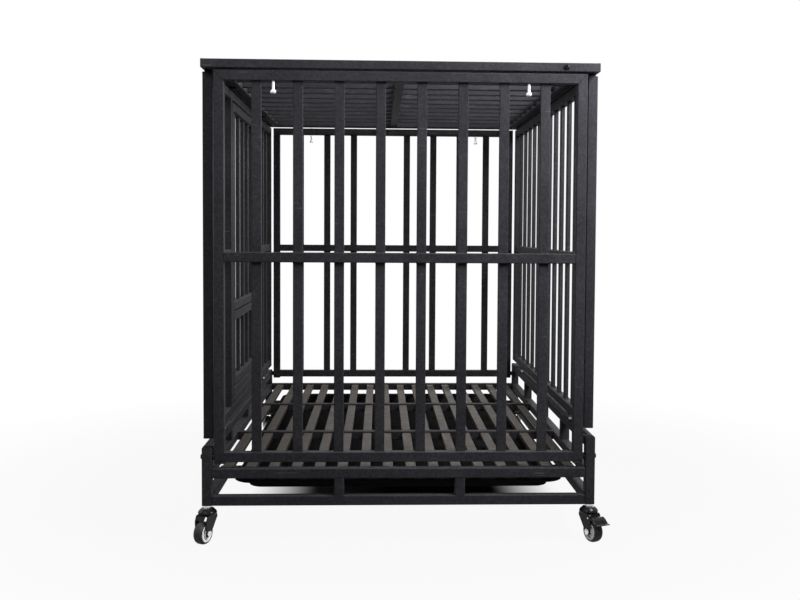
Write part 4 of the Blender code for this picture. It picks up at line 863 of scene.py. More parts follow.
class Piece:
    """Collects closed shells in one mesh, each with its finish, and makes it an object riding its body."""

    def __init__(self, name):
        self.name = name
        self.bm = bmesh.new()
        self.finishes = []

    def add_mesh(self, mesh, finish, place):
        """Takes in a mesh's shells with their finish and place. The mesh itself is used up."""
        first_vert, first_face = len(self.bm.verts), len(self.bm.faces)
        self.bm.from_mesh(mesh)
        bpy.data.meshes.remove(mesh)
        if finish not in self.finishes:
            self.finishes.append(finish)
        self.bm.verts.ensure_lookup_table()
        self.bm.faces.ensure_lookup_table()
        for face in self.bm.faces[first_face:]:
            face.material_index = self.finishes.index(finish)
        bmesh.ops.transform(self.bm, matrix=place, verts=self.bm.verts[first_vert:])

    def add_shell(self, solid, finish, place):
        """Takes in one closed shell, with its faces turned outward."""
        bmesh.ops.recalc_face_normals(solid, faces=solid.faces)
        mesh = bpy.data.meshes.new("shell")
        solid.to_mesh(mesh)
        solid.free()
        self.add_mesh(mesh, finish, place)

    def ring(self, width, height, place, depth=TUBE, sockets=()):
        """A mitred ring with a black seam across each corner, painted shade for the mitre's groove, drilled
        from below where it takes pins.
        """
        sizes = bpy.context.scene.crate_tubes
        mesh = tree_mesh("ring", Width=width, Height=height, Tube=TUBE, Depth=depth,
                         Corner_Radius=sizes.tube_corner, Material=FINISHES["frame"])
        self.add_mesh(drilled(mesh, sockets) if sockets else mesh, "frame", place)
        for sx, sy, sz in itertools.product((-1, 1), repeat=3):
            level = sz * (depth / 2 - SEAM_SINK)
            far, near = (place @ Vector((sx * (width / 2 - cut), sy * (height / 2 - cut), level))
                         for cut in (MITRE_INSET, TUBE - MITRE_INSET))
            # Black oxide on the seam is painted shade: a dark line standing in for the shadow in the mitre's
            # groove
            self.rod(far, near, sizes.mitre_seam_shade, "bolt", STEPS["seam"], sizes.mitre_seam_shade / 2)

    def row(self, count, pitch, length, place, width=BAR_WIDTH, depth=BAR_THICKNESS, beads=True,
            finish="frame", seed=1.0):
        """Bars along local Y, spaced along local X. Thick ones have the corners and beads of tubes."""
        sizes = bpy.context.scene.crate_tubes
        tubes = min(width, depth) > LEAST_TUBE
        mesh = tree_mesh("row", Count=count, Pitch=pitch, Length=length, Bar_Width=width, Bar_Depth=depth,
                         Corner_Radius=sizes.tube_corner if tubes else sizes.bar_corner,
                         Bead_Radius=sizes.tube_bead if tubes else sizes.bar_bead,
                         Beads=beads, Seed=seed, Material=FINISHES[finish])
        self.add_mesh(mesh, finish, place)

    def fill(self, count, pitch, span, face, across=0.0, **kind):
        """A row of upright bars between the two heights of a span."""
        self.row(count, pitch, span[1] - span[0], face @ shift(across, centre_of(*span)), **kind)

    def tube(self, length, place, width=TUBE, depth=TUBE, beads=False):
        """One straight tube along local Y."""
        self.row(1, width, length, place, width, depth, beads)

    def rail(self, length, height, face, across=0.0, **kind):
        """One level tube on a face."""
        self.tube(length, face @ shift(across, height) @ QUARTER, **kind)

    def block(self, low, high, finish="frame", edge=EDGE, place=AS_IT_IS, segments=2):
        """A box with rounded edges between two opposite corners."""
        low, high = Vector(low), Vector(high)
        size = Matrix.Diagonal((*[abs(side) for side in high - low], 1.0))
        solid = bmesh.new()
        bmesh.ops.create_cube(solid, size=1.0, matrix=Matrix.Translation(centre_of(low, high)) @ size)
        bmesh.ops.bevel(solid, geom=solid.edges[:], offset=edge, segments=segments, profile=0.5,
                        affect="EDGES")
        self.add_shell(solid, finish, place)

    def turned(self, profile, place, finish="frame", steps=STEPS["bolt"]):
        """A profile of (radius, height) points spun on local Z. It ends on the axis or on its start."""
        angles = [2 * math.pi * step / steps for step in range(steps)]
        solid = bmesh.new()
        rings = []
        for radius, height in profile:
            spun = [(radius * math.cos(a), radius * math.sin(a), height) for a in angles]
            rings.append([solid.verts.new(spot) for spot in (spun if radius else [(0, 0, height)])])
        if profile[0][0] > 0:
            rings.append(rings[0])
        for first, second in zip(rings, rings[1:]):
            for step in range(steps):
                after = (step + 1) % steps
                corners = [first[step % len(first)], first[after % len(first)],
                           second[after % len(second)], second[step % len(second)]]
                solid.faces.new(list(dict.fromkeys(corners)))
        self.add_shell(solid, finish, place)

    def rod(self, start, end, radius, finish="chrome", steps=STEPS["rod"], rim=RIM, bore=0.0):
        """A round bar with softened ends, or a barrel where it has a bore."""
        along = Vector(end) - Vector(start)
        length = along.length
        self.turned([(bore, 0), (radius - rim, 0), (radius, rim), (radius, length - rim),
                     (radius - rim, length), (bore, length)], standing(start, along), finish, steps)

    def plate(self, outline, thickness, place, finish="frame", edge=RIM):
        """A flat outline in local X and Y given its thickness, centred on local Z, with rounded edges."""
        solid = bmesh.new()
        face = solid.faces.new([solid.verts.new((x, y, -thickness / 2)) for x, y in outline])
        raised = bmesh.ops.extrude_face_region(solid, geom=[face])
        lifted = [item for item in raised["geom"] if isinstance(item, bmesh.types.BMVert)]
        bmesh.ops.translate(solid, verts=lifted, vec=(0, 0, thickness))
        level = [side for side in solid.edges if side.verts[0].co.z == side.verts[1].co.z]
        bmesh.ops.bevel(solid, geom=level, offset=edge, segments=2, profile=0.5, affect="EDGES")
        self.add_shell(solid, finish, place)

    def nut(self, radius, height, place, finish="chrome"):
        """A hexagon nut with its edges softened, standing on local Z."""
        angles = [math.radians(60 * step) for step in range(6)]
        corners = [(radius * math.cos(angle), radius * math.sin(angle)) for angle in angles]
        self.plate(corners, height, place @ shift(z=height / 2), finish, EDGE)

    def moulded(self, profile, half, corner, place, finish, steps=12):
        """A tray-like shell, closed at its ends: each (outset, height) is a rounded rectangle."""
        solid = bmesh.new()
        loops = []
        for outset, height in profile:
            radius = corner + outset * 0.5
            loop = []
            for quadrant, (sx, sy) in enumerate(((1, 1), (-1, 1), (-1, -1), (1, -1))):
                for step in range(steps + 1):
                    angle = math.radians(90 * quadrant + 90 * step / steps)
                    x = sx * (half[0] + outset - radius) + radius * math.cos(angle)
                    y = sy * (half[1] + outset - radius) + radius * math.sin(angle)
                    loop.append(solid.verts.new((x, y, height)))
            loops.append(loop)
        for lower, upper in zip(loops, loops[1:]):
            for index, first in enumerate(lower):
                after = (index + 1) % len(lower)
                solid.faces.new((first, lower[after], upper[after], upper[index]))
        solid.faces.new(loops[0])
        solid.faces.new(loops[-1])
        self.add_shell(solid, finish, place)

    def make(self, node):
        """The finished object: smooth with crisp flats, riding its body in place of the CAD node."""
        mesh = bpy.data.meshes.new(self.name)
        self.bm.to_mesh(mesh)
        self.bm.free()
        for finish in self.finishes:
            mesh.materials.append(FINISHES[finish])
        mesh.shade_smooth()
        mesh.set_sharp_from_angle(angle=SHARP_ANGLE)
        draft = bpy.data.objects.new(self.name + "_draft", mesh)
        bpy.context.scene.collection.objects.link(draft)
        draft.modifiers.new("flat faces", "WEIGHTED_NORMAL").keep_sharp = True
        graph = bpy.context.evaluated_depsgraph_get()
        finished = bpy.data.meshes.new_from_object(draft.evaluated_get(graph))
        bpy.data.objects.remove(draft, do_unlink=True)
        piece = bpy.data.objects.new(self.name, finished)
        bpy.context.scene.collection.objects.link(piece)
        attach(piece, BODY_OF[node])
        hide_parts(node)


def bays(bottom, middle, top):
    """The two spans of height that a panel's bars fill, below its middle rail and above it."""
    return (bottom + TUBE, middle - TUBE / 2), (middle + TUBE / 2, top - TUBE)


def knuckle_spans(middles, knuckle, outer):
    """Where each hinge's knuckles start and stop: the two outer ones, or the one between them."""
    if outer:
        return [(middle + sign * knuckle - knuckle / 2, middle + sign * knuckle + knuckle / 2)
                for middle in middles for sign in (-1, 1)]
    return [(middle - knuckle / 2 + SEAT_GAP, middle + knuckle / 2 - SEAT_GAP) for middle in middles]


def add_panel_knuckles(piece, side, outer, toward):
    """Hinge barrels at the panel's inner face, each with its web up or down to the rail."""
    x, z = HINGE_X[side], HINGE_Z[side]
    for start, stop in knuckle_spans(SIDE_HINGES, HINGE_KNUCKLE, outer):
        piece.rod((x, start, z), (x, stop, z), HINGE_RADIUS, "frame", bore=HINGE_BORE)
        near, far = (x + math.copysign(reach, x) for reach in (HINGE_BORE, HINGE_RADIUS * 0.85))
        piece.block((near, start + RIM, z + toward * HINGE_BORE * 1.2),
                    (far, stop - RIM, z + toward * HINGE_WEB), edge=WEB_EDGE)


class CRATE_OT_end_panels(bpy.types.Operator):
    """Front and back folding panels: ring, mid rail, two rows of welded bars, stile feet"""

    bl_idname = "crate.end_panels"
    bl_label = "End Panels"

    def execute(self, context):
        for index, end in enumerate(("front", "back")):
            low, high = corners_of(end + "_panel")
            width = high.x - low.x
            bottom = low.z + STILE_FOOT
            face = shift(y=centre_of(low.y, high.y)) @ FACING_Y
            piece = Piece(end + "_panel_tubes")
            piece.ring(width, high.z - bottom, face @ shift(y=centre_of(bottom, high.z)))
            piece.rail(width - 2 * TUBE, END_MID_Z, face, beads=True)
            for part, span in enumerate(bays(bottom, END_MID_Z, high.z)):
                piece.fill(END_BARS, END_BAR_PITCH, span, face, seed=BEAD_SEEDS["ends"] + index * 2.0 + part)
            piece.row(2, width - TUBE, 2 * STILE_FOOT, face @ shift(y=bottom), TUBE, TUBE, beads=False)
            piece.make(end + "_panel")
        return {"FINISHED"}


class CRATE_OT_side_panels(bpy.types.Operator):
    """Plain right panel and the left panel with its doorway, with their hinge knuckles"""

    bl_idname = "crate.side_panels"
    bl_label = "Side Panels"

    def execute(self, context):
        for side in ("right", "left"):
            top = corners_of(side + "_panel")[1].z
            bottom = HINGE_Z[side] + HINGE_CLEAR / 2
            length = SIDE_Y_OUT * 2
            inner = length - 2 * TUBE
            spans = bays(bottom, SIDE_MID_Z, top)
            face = shift(math.copysign(SIDE_X, HINGE_X[side])) @ FACING_X
            piece = Piece(side + "_panel_tubes")
            piece.ring(length, top - bottom, face @ shift(y=centre_of(bottom, top)))
            if side == "right":
                piece.rail(inner, SIDE_MID_Z, face, beads=True)
                for part, span in enumerate(spans):
                    piece.fill(SIDE_BARS, SIDE_BAR_PITCH, span, face, seed=BEAD_SEEDS[side] + part)
            else:
                self.door_side(piece, face, spans, inner)
            add_panel_knuckles(piece, side, False, 1)
            if side == "left":
                keeper = -DOORWAY / 2 - LATCH_SETBACK
                add_door_knuckles(piece, DOOR_HINGES, True)
                add_bored_block(piece, (keeper - KEEPER, keeper), "Y", LATCH_Z)
            piece.make(side + "_panel")
        return {"FINISHED"}

    def door_side(self, piece, face, spans, inner):
        """The two barred bays beside the doorway, with the doorway's stiles between them."""
        piece.fill(2, DOORWAY + TUBE, (spans[0][0], spans[1][1]), face, width=TUBE, depth=TUBE)
        bay_in, bay_out = DOORWAY / 2 + TUBE, inner / 2
        for sign in (-1, 1):
            piece.rail(bay_out - bay_in, SIDE_MID_Z, face, sign * centre_of(bay_in, bay_out), beads=True)
            for part, span in enumerate(spans):
                piece.fill(2, SIDE_BAR_PITCH, span, face, sign * BAY_PLACE,
                           seed=BEAD_SEEDS["left"] + part + sign)


def hinge_point(kind, along, across):
    """A point beside a door's hinge line: Z for the big door's upright one, Y for the feeder's level one."""
    if kind == "Z":
        return Vector((BARREL_X, DOOR_AXIS_Y + across, along))
    return Vector((BARREL_X, along, FEEDER_AXIS_Z + across))


def add_door_knuckles(piece, hinges, outer, leaf_side=1):
    """Small barrels on riveted leaves on the outer face."""
    for kind, middle in hinges:
        for start, stop in knuckle_spans([middle], DOOR_KNUCKLE, outer):
            piece.rod(hinge_point(kind, start, 0), hinge_point(kind, stop, 0), DOOR_BARREL, "frame",
                      bore=DOOR_BORE)
            first = hinge_point(kind, start + SEAT_GAP, leaf_side * LEAF_START)
            second = hinge_point(kind, stop - SEAT_GAP, leaf_side * DOOR_LEAF)
            first.x, second.x = -X_OUT - LEAF_THICKNESS, -X_OUT + WELD_SINK
            piece.block(first, second)
            rivet = hinge_point(kind, centre_of(start, stop), leaf_side * DOOR_LEAF * RIVET_PLACE)
            rivet.x = -X_OUT - RIVET_SINK
            piece.turned(RIVET_PROFILE, Matrix.Translation(rivet) @ turn(-90, "Y"), "bolt",
                         STEPS["rivet"])


def latch_point(along, x, reach, across):
    """A point beside a latch bolt that runs along Y or Z."""
    return (x, reach, across) if along == "Y" else (x, across, reach)


def add_bored_block(piece, span, along, across):
    """A latch guide or keeper: a bored barrel round the bolt, on a strap."""
    half, rim = LATCH_BLOCK / 2, LATCH_RIM
    near, far = sorted(span)
    length = far - near
    bore = LATCH_BOLT_RADIUS + SEAT_GAP
    place = Matrix.Translation(latch_point(along, LATCH_X, near, across)) @ LAID_ALONG[along]
    piece.turned([(bore, 0), (half - 2 * rim, 0), (half - rim, rim), (half - rim, length - rim),
                  (half - 2 * rim, length), (bore, length)], place)
    piece.block(latch_point(along, -X_OUT + WELD_SINK, near, across - half),
                latch_point(along, -X_OUT - LATCH_STRAP, far, across + half))


def add_latch_guides(piece, start, direction, along, across):
    """Two guides on one backing plate."""
    second = start + direction * (KEEPER + LATCH_FINGER + LATCH_TRAVEL)
    end = second + direction * KEEPER
    half = LATCH_BLOCK / 2 + LATCH_PLATE_MARGIN
    piece.block(latch_point(along, -X_OUT - LEAF_THICKNESS, start, across - half),
                latch_point(along, -X_OUT + LATCH_PLATE_SINK, end, across + half))
    for first in (start, second):
        add_bored_block(piece, (first, first + direction * KEEPER), along, across)


class CRATE_OT_doors(bpy.types.Operator):
    """The big door with its bars and the feeder door hung in its lower half"""

    bl_idname = "crate.doors"
    bl_label = "Doors"

    def execute(self, context):
        half = DOORWAY / 2 - DOOR_GAP
        bottom = HINGE_Z["left"] + HINGE_CLEAR / 2 + TUBE + DOOR_GAP
        top = corners_of("door")[1].z
        face = shift(-SIDE_X) @ FACING_X
        sill = DOOR_BOTTOM_RAIL - TUBE
        door = Piece("door_tubes")
        door.rail(2 * half, bottom + sill / 2, face, width=sill)
        door.ring(2 * half, top - bottom - sill, face @ shift(y=centre_of(bottom + sill, top)))
        door.rail(2 * (half - TUBE), DOOR_MID_Z, face, beads=True)
        upper = DOOR_MID_Z + TUBE / 2, top - TUBE
        door.fill(DOOR_BARS, DOOR_BAR_PITCH, upper, face, seed=BEAD_SEEDS["door"])
        add_door_knuckles(door, DOOR_HINGES, False, -1)
        add_door_knuckles(door, FEEDER_HINGES, True, -1)
        add_latch_guides(door, -half + LATCH_SETBACK, 1, "Y", LATCH_Z)
        keeper = DOOR_MID_Z - TUBE / 2 + LATCH_SETBACK
        add_bored_block(door, (keeper, keeper + KEEPER), "Z", 0)
        door.make("door")
        half -= TUBE + DOOR_GAP
        low, high = bottom + DOOR_BOTTOM_RAIL + DOOR_GAP, DOOR_MID_Z - TUBE / 2 - DOOR_GAP
        feeder = Piece("feeder_door_tubes")
        feeder.ring(2 * half, high - low, face @ shift(y=centre_of(low, high)))
        feeder.fill(DOOR_BARS, DOOR_BAR_PITCH, (low + TUBE, high - TUBE), face, seed=BEAD_SEEDS["feeder"])
        add_door_knuckles(feeder, FEEDER_HINGES, False, 1)
        add_latch_guides(feeder, high - LATCH_SETBACK, -1, "Z", 0)
        feeder.make("feeder_door")
        return {"FINISHED"}


class CRATE_OT_hardware(bpy.types.Operator):
    """Latch bolts, hinge pins, pivot bolts and lock pins"""

    bl_idname = "crate.hardware"
    bl_label = "Pins and Bolts"

    def execute(self, context):
        for name, sizes in HINGE_PINS.items():
            self.hinge_pin(name, *sizes)
        for name, kind in LATCH_BOLTS.items():
            self.latch_bolt(name, *kind)
        rim = SPACER_RADIUS - SPACER_RIM
        start, stop = -TUBE - 2 * SEAT_GAP, -TUBE - END_SIDE_GAP
        spacer = [(BOLT_RADIUS, start), (rim, start), (SPACER_RADIUS, start - SPACER_RIM),
                  (SPACER_RADIUS, stop + SPACER_RIM), (rim, stop), (BOLT_RADIUS, stop)]
        for name in frame["nodes"]:
            if name.startswith("lock_pin_"):
                self.lock_pin(name)
            elif name.startswith("pivot_bolt_"):
                self.cross_bolt(name, 0, UPRIGHT_TO_X, spacer)
            elif name.startswith("lid_pivot_bolt_"):
                self.cross_bolt(name, 1, UPRIGHT_TO_Y, [])
        return {"FINISHED"}

    def hinge_pin(self, name, axis, knuckle, radius, lip):
        """A shank through three knuckles with a rounded lip at each end."""
        reach = 1.5 * knuckle + SEAT_GAP
        half = [(0, reach + lip), (radius + lip * 0.6, reach + lip), (radius + lip, reach + lip * 0.5),
                (radius + lip, reach), (radius, reach)]
        piece = Piece(name + "_turned")
        middle = Matrix.Translation(centre_of(*corners_of(name)))
        piece.turned(half + mirrored(half), middle @ LAID_ALONG[axis], "chrome", STEPS["hinge_pin"])
        piece.make(name)

    def latch_bolt(self, name, along, back, across, side):
        """A round bolt with softened ends, and a finger tab that ends in a ball."""
        side, back_line = Vector(side), Vector(latch_point(along, 0, back, 0))
        reaches = [corner["XYZ".index(along)] for corner in corners_of(name)]
        tip, tail = (Vector(latch_point(along, LATCH_X, reach, across)) for reach in reaches[::back])
        finger = tip + back_line * (KEEPER + LATCH_TRAVEL + LATCH_FINGER / 2 + LATCH_SETBACK / 2)
        radius = KNOB_RADIUS
        knob = [(radius * math.sin(angle), -radius - radius * math.cos(angle))
                for angle in (math.pi * step / 8 for step in range(1, 8))]
        piece = Piece(name + "_turned")
        piece.rod(tip, tail, LATCH_BOLT_RADIUS, "chrome", STEPS["bolt"], LATCH_BOLT_RIM)
        piece.rod(finger, finger + side * (LATCH_REACH - FINGER_SHORT), FINGER_RADIUS, "chrome",
                  STEPS["hinge_pin"], FINGER_RIM)
        end = standing(finger + side * LATCH_REACH, side)
        piece.turned([(0, -2 * radius), *knob, (0, 0)], end, "chrome", STEPS["knob"])
        piece.make(name)

    def lock_pin(self, name):
        """A bright pin hanging from the top rail: rounded tip, shank with a retaining groove, domed knob."""
        low, high = corners_of(name)
        middle = centre_of(low, high)
        height = high.z - low.z
        r, big, knob = LOCK_RADIUS, LOCK_HEAD_RADIUS, LOCK_HEAD_HEIGHT
        waist = r * 0.82
        tip = [(0, height), (r * 0.55, height - 0.0002), (r * 0.9, height - 0.0009), (r, height - 0.002)]
        groove = [(r, knob + 0.0075), (waist, knob + 0.0071), (waist, knob + 0.0061), (r, knob + 0.0057)]
        dome = [(r, knob), (big * 0.55, knob), (big * 0.86, knob - 0.0005), (big, knob * 0.74),
                (big, knob * 0.34), (big * 0.93, knob * 0.14), (big * 0.72, knob * 0.02), (big * 0.4, 0),
                (0, 0)]
        piece = Piece(name + "_turned")
        piece.turned(tip + groove + dome, shift(middle.x, middle.y, low.z), "chrome", STEPS["lock_pin"])
        piece.make(name)

    def cross_bolt(self, name, axis, turning, collar):
        """A domed bolt with its head at the outer end of its axis, and a collar where it has one."""
        low, high = corners_of(name)
        seat = centre_of(low, high)
        outward = math.copysign(1, seat[axis])
        seat[axis] = (high[axis] if outward > 0 else low[axis]) - outward * BOLT_HEAD_HEIGHT
        tip = BOLT_HEAD_HEIGHT - (high[axis] - low[axis])
        r, h = BOLT_HEAD_RADIUS, BOLT_HEAD_HEIGHT
        head = [(0, h * 0.35), (r * 0.34, h * 0.35), (r * 0.36, h * 0.97), (r * 0.44, h),
                (r * 0.62, h * 0.97), (r * 0.82, h * 0.8), (r * 0.95, h * 0.5), (r, h * 0.2), (r, 0),
                (BOLT_RADIUS, 0)]
        piece = Piece(name + "_turned")
        place = Matrix.Translation(seat) @ (turning if outward > 0 else turning.inverted())
        piece.turned(head + collar + [(BOLT_RADIUS, tip), (0, tip)], place, "bolt", STEPS["lock_pin"])
        piece.make(name)


class CRATE_OT_base(bpy.types.Operator):
    """Posts with caps, base rails and struts, hinge rails, lower rails and the floor grate"""

    bl_idname = "crate.base"
    bl_label = "Base"

    def execute(self, context):
        for name in frame["nodes"]:
            if name.startswith("post_"):
                self.post(name)
        for end in ("front", "back"):
            low, high = corners_of(end + "_base_frame")
            piece = Piece(end + "_base_tubes")
            face = shift(y=centre_of(low.y, high.y)) @ FACING_Y
            self.rails(piece, face, high.x - low.x, low.z, high.z, 2, BASE_STRUTS, BEAD_SEEDS["end_base"])
            piece.make(end + "_base_frame")
        for side in ("left", "right"):
            self.side_base(side)
        self.grate()
        return {"FINISHED"}

    def post(self, name):
        """A square tube with a moulded cap let into its top."""
        low, high = corners_of(name)
        middle = centre_of(low, high)
        cap = high.z - CAP_HEIGHT
        piece = Piece(name + "_tube")
        piece.tube(cap - low.z, shift(middle.x, middle.y) @ FACING_Y @ shift(y=centre_of(low.z, cap)))
        piece.block((low.x + EDGE, low.y + EDGE, cap - EDGE), (high.x - EDGE, high.y - EDGE, high.z),
                    "tray", MOULDED_EDGE, segments=3)
        piece.make(name)

    def rails(self, piece, face, length, low, high, struts, pitch, seed):
        """Two level rails with upright struts between them."""
        for height in (low + TUBE / 2, high - TUBE / 2):
            piece.rail(length, height, face)
        piece.fill(struts, pitch, (low + TUBE, high - TUBE), face, width=TUBE, depth=TUBE, seed=seed)

    def side_base(self, side):
        """A side's floor rail, hinge rail, struts and knuckles, and its lower rail as a piece of its own."""
        low, high = corners_of(side + "_base_frame")
        face = shift(math.copysign(SIDE_X, HINGE_X[side])) @ FACING_X
        rail_top = HINGE_Z[side] - HINGE_CLEAR / 2
        piece = Piece(side + "_base_tubes")
        self.rails(piece, face, high.y - low.y, low.z, rail_top, 3, SIDE_STRUTS, BEAD_SEEDS["side_base"])
        add_panel_knuckles(piece, side, True, -1)
        piece.make(side + "_base_frame")
        low, high = corners_of(side + "_lower_rail")
        piece = Piece(side + "_lower_tube")
        piece.rail(high.y - low.y, centre_of(low.z, high.z), face)
        piece.make(side + "_lower_rail")

    def grate(self):
        """Sixteen flat tubes from front to back on two cross tubes."""
        low, high = corners_of("floor_grate")
        piece = Piece("floor_grate_slats")
        middle = shift(z=high.z - CROSS_RISE - SLAT_THICKNESS / 2)
        piece.row(FLOOR_SLATS, SLAT_PITCH, high.y - low.y, middle, SLAT_WIDTH, SLAT_THICKNESS, False, "slats")
        for y in (-CROSS_TUBES / 2, CROSS_TUBES / 2):
            piece.rail(high.x - low.x, y, shift(z=high.z - TUBE / 2))
        piece.make("floor_grate")


class CRATE_OT_tray(bpy.types.Operator):
    """The moulded tray with its rolled rim and floor ribs, and the two flat runners under it"""

    bl_idname = "crate.tray"
    bl_label = "Tray"

    def execute(self, context):
        for end in ("front", "back"):
            runner = Piece("tray_runner_bar_" + end)
            runner.block(*corners_of("tray_runner_" + end), edge=RUNNER_EDGE, segments=3)
            runner.make("tray_runner_" + end)
        draft, rim, wall, top = TRAY_RIM + TRAY_DRAFT, TRAY_RIM, TRAY_WALL, TRAY_DEPTH
        outer = [(-draft - TRAY_FLOOR_EDGE, 0), (-draft, 0), (-rim, top - 0.002), (-TRAY_LIP, top - 0.001),
                 (0, top - TRAY_LIP_DROP)]
        inner = [(wall, top - TRAY_LIP_DROP + 0.0008), (-0.0006, top + 0.001), (-rim - wall, top),
                 (-draft - wall, wall), (-draft - TRAY_FLOOR_EDGE, wall)]
        profile = [(outset, TRAY_BOTTOM + height) for outset, height in eased(outer + inner, *TRAY_EASE)]
        tray = Piece("tray_shell")
        tray.moulded(profile, TRAY_HALF, TRAY_CORNER, AS_IT_IS, "tray")
        tray.row(TRAY_RIBS, TRAY_RIB_PITCH, 2 * (TRAY_HALF[1] - TRAY_RIB_INSET),
                 shift(z=TRAY_BOTTOM + wall + TRAY_RIB_RISE), *TRAY_RIB, False, "tray")
        tray.make("tray")
        return {"FINISHED"}


class CRATE_OT_casters(bpy.types.Operator):
    """Four swivel casters: stem and nut, turned fork, wheel with its hub, and two brake pedals"""

    bl_idname = "crate.casters"
    bl_label = "Casters"

    def execute(self, context):
        for corner, heading in CASTER_HEADINGS.items():
            end, side = corner.split("_")
            middle = shift(math.copysign(SIDE_X, HINGE_X[side]), CASTER_Y if end == "back" else -CASTER_Y)
            place = middle @ turn(heading, "Z")
            self.stem(corner, place)
            self.fork(corner, place)
            self.wheel(corner, place)
            if "brake_pedal_" + corner in frame["nodes"]:
                self.pedal(corner, place)
        return {"FINISHED"}

    def stem(self, corner, place):
        """A plated stem with its hexagon nut, and a flange under the nut."""
        piece = Piece("caster_stem_turned_" + corner)
        (radius, height), (foot, lip) = STEM_NUT, STEM_FOOT
        bottom = FORK_LOW - STEM_SINK - lip
        low = STEM_TOP - height
        top = low + STEM_FLANGE
        piece.nut(radius, height - STEM_FLANGE, place @ shift(z=top))
        flange = [(0, top), (radius * 0.82, top), (radius * 0.98, low + STEM_FLANGE * 0.5),
                  (radius * 0.98, low)]
        shank = [(STEM_RADIUS, low), (STEM_RADIUS, bottom + lip), (foot, bottom + lip), (foot, bottom + RIM),
                 (foot - RIM, bottom), (0, bottom)]
        piece.turned(flange + shank, place, "chrome")
        piece.make("caster_stem_" + corner)

    def fork(self, corner, place):
        """Round head, crown plate, two tapering legs, axle bolt and its nuts."""
        piece = Piece("caster_fork_turned_" + corner)
        radius, height = FORK_HEAD
        head = [(radius * across, FORK_LOW + height * up) for across, up in FORK_HEAD_PROFILE]
        bored = [(STEM_RADIUS + SEAT_GAP, head[end][1]) for end in (0, -1)]
        piece.turned([bored[0], *eased(head, *FORK_HEAD_EASE), bored[1]], place, "caster", STEPS["fork"])
        tip = [(CASTER_TRAIL + FORK_TIP * math.cos(angle), WHEEL_RADIUS + FORK_TIP * math.sin(angle))
               for angle in map(math.radians, range(200, 350, 10))]
        leg = tip + eased([(along, FORK_LOW + above) for along, above in FORK_LEG_CORNERS], *FORK_LEG_EASE)
        for sign in (-1, 1):
            middle = place @ shift(y=sign * (FORK_OUT - FORK_PLATE / 2)) @ FACING_Y
            piece.plate(leg, FORK_PLATE, middle, "caster", FORK_EDGE)
            seat = place @ shift(CASTER_TRAIL, sign * (FORK_OUT - AXLE_NUT_SINK), WHEEL_RADIUS)
            piece.nut(*AXLE_NUT, seat @ turn(-90 * sign, "X"))
        start, stop, thick = FORK_CROWN
        inset = FORK_CROWN_INSET
        piece.block((start, -FORK_OUT + inset, FORK_LOW + inset), (stop, FORK_OUT - inset, FORK_LOW + thick),
                    "caster", FORK_CROWN_EDGE, place)
        reach = FORK_OUT + AXLE_REACH
        half = [(0, reach), (AXLE_RADIUS * 0.7, reach), (AXLE_RADIUS, reach - AXLE_RIM)]
        piece.turned(half + mirrored(half), place @ shift(CASTER_TRAIL, 0, WHEEL_RADIUS) @ UPRIGHT_TO_Y,
                     "chrome", STEPS["rod"])
        piece.make("caster_fork_" + corner)

    def wheel(self, corner, place):
        """A crowned tread on a pale hub with a raised ring and a boss round its bore."""
        piece = Piece("caster_wheel_turned_" + corner)
        upright = place @ shift(CASTER_TRAIL, 0, WHEEL_RADIUS) @ turn(90, "X")
        band, half, boss = WHEEL_RADIUS - TREAD_WALL, WHEEL_HALF, HUB_BORE + HUB_BOSS
        tread = eased([(band, half - 0.0006), (band + 0.0009, half), (WHEEL_RADIUS - 0.0022, half - 0.0004),
                       (WHEEL_RADIUS - 0.0003, half - 0.0042), (WHEEL_RADIUS, 0)], *TREAD_EASE)
        piece.turned(tread + mirrored(tread[:-1]), upright, "tread", STEPS["wheel"])
        hub = eased([(HUB_BORE, half + 0.001), (boss, half + 0.001), (boss + 0.0004, half - 0.002),
                     (band - 0.0052, half - 0.002), (band - 0.0036, half - 0.0002),
                     (band - 0.0003, half - 0.0002)], *HUB_EASE)
        hub.append((band - 0.0001, half - 0.0007))
        piece.turned(hub + mirrored(hub), upright, "hub", STEPS["wheel"])
        piece.make("caster_wheel_" + corner)

    def pedal(self, corner, place):
        """A curved pedal with ribs to step on, its arm, brake shoe and cross pin."""
        piece = Piece("brake_pedal_moulded_" + corner)
        out, up = PEDAL_PIVOT
        corners = [(out + along, PEDAL_TOP - down) for along, down in PEDAL_OUTLINE]
        outline = eased(corners, *PEDAL_EASE, closed=True)
        piece.plate(outline, PEDAL_WIDTH, place @ FACING_Y, "caster", MOULDED_EDGE)
        pivot = place @ shift(out, 0, up)
        for low, high in (PEDAL_ARM, PEDAL_SHOE):
            piece.block(low, high, "caster", EDGE, pivot)
        radius, reach = PEDAL_PIN
        piece.turned([(0, -reach), (radius, -reach), (radius, reach), (0, reach)], pivot @ turn(90, "X"),
                     "chrome", STEPS["pedal_pin"])
        upper, lower = (Vector(spot) for spot in corners[1:3])
        middle = centre_of(upper, lower)
        slope = math.degrees(math.atan2(upper.y - lower.y, lower.x - upper.x))
        ribs = place @ shift(middle.x, 0, middle.y) @ turn(slope, "Y")
        length = PEDAL_WIDTH - PEDAL_RIB_INSET
        piece.row(PEDAL_RIBS, PEDAL_RIB_PITCH, length, ribs, *PEDAL_RIB, False, "caster")
        piece.make("brake_pedal_" + corner)


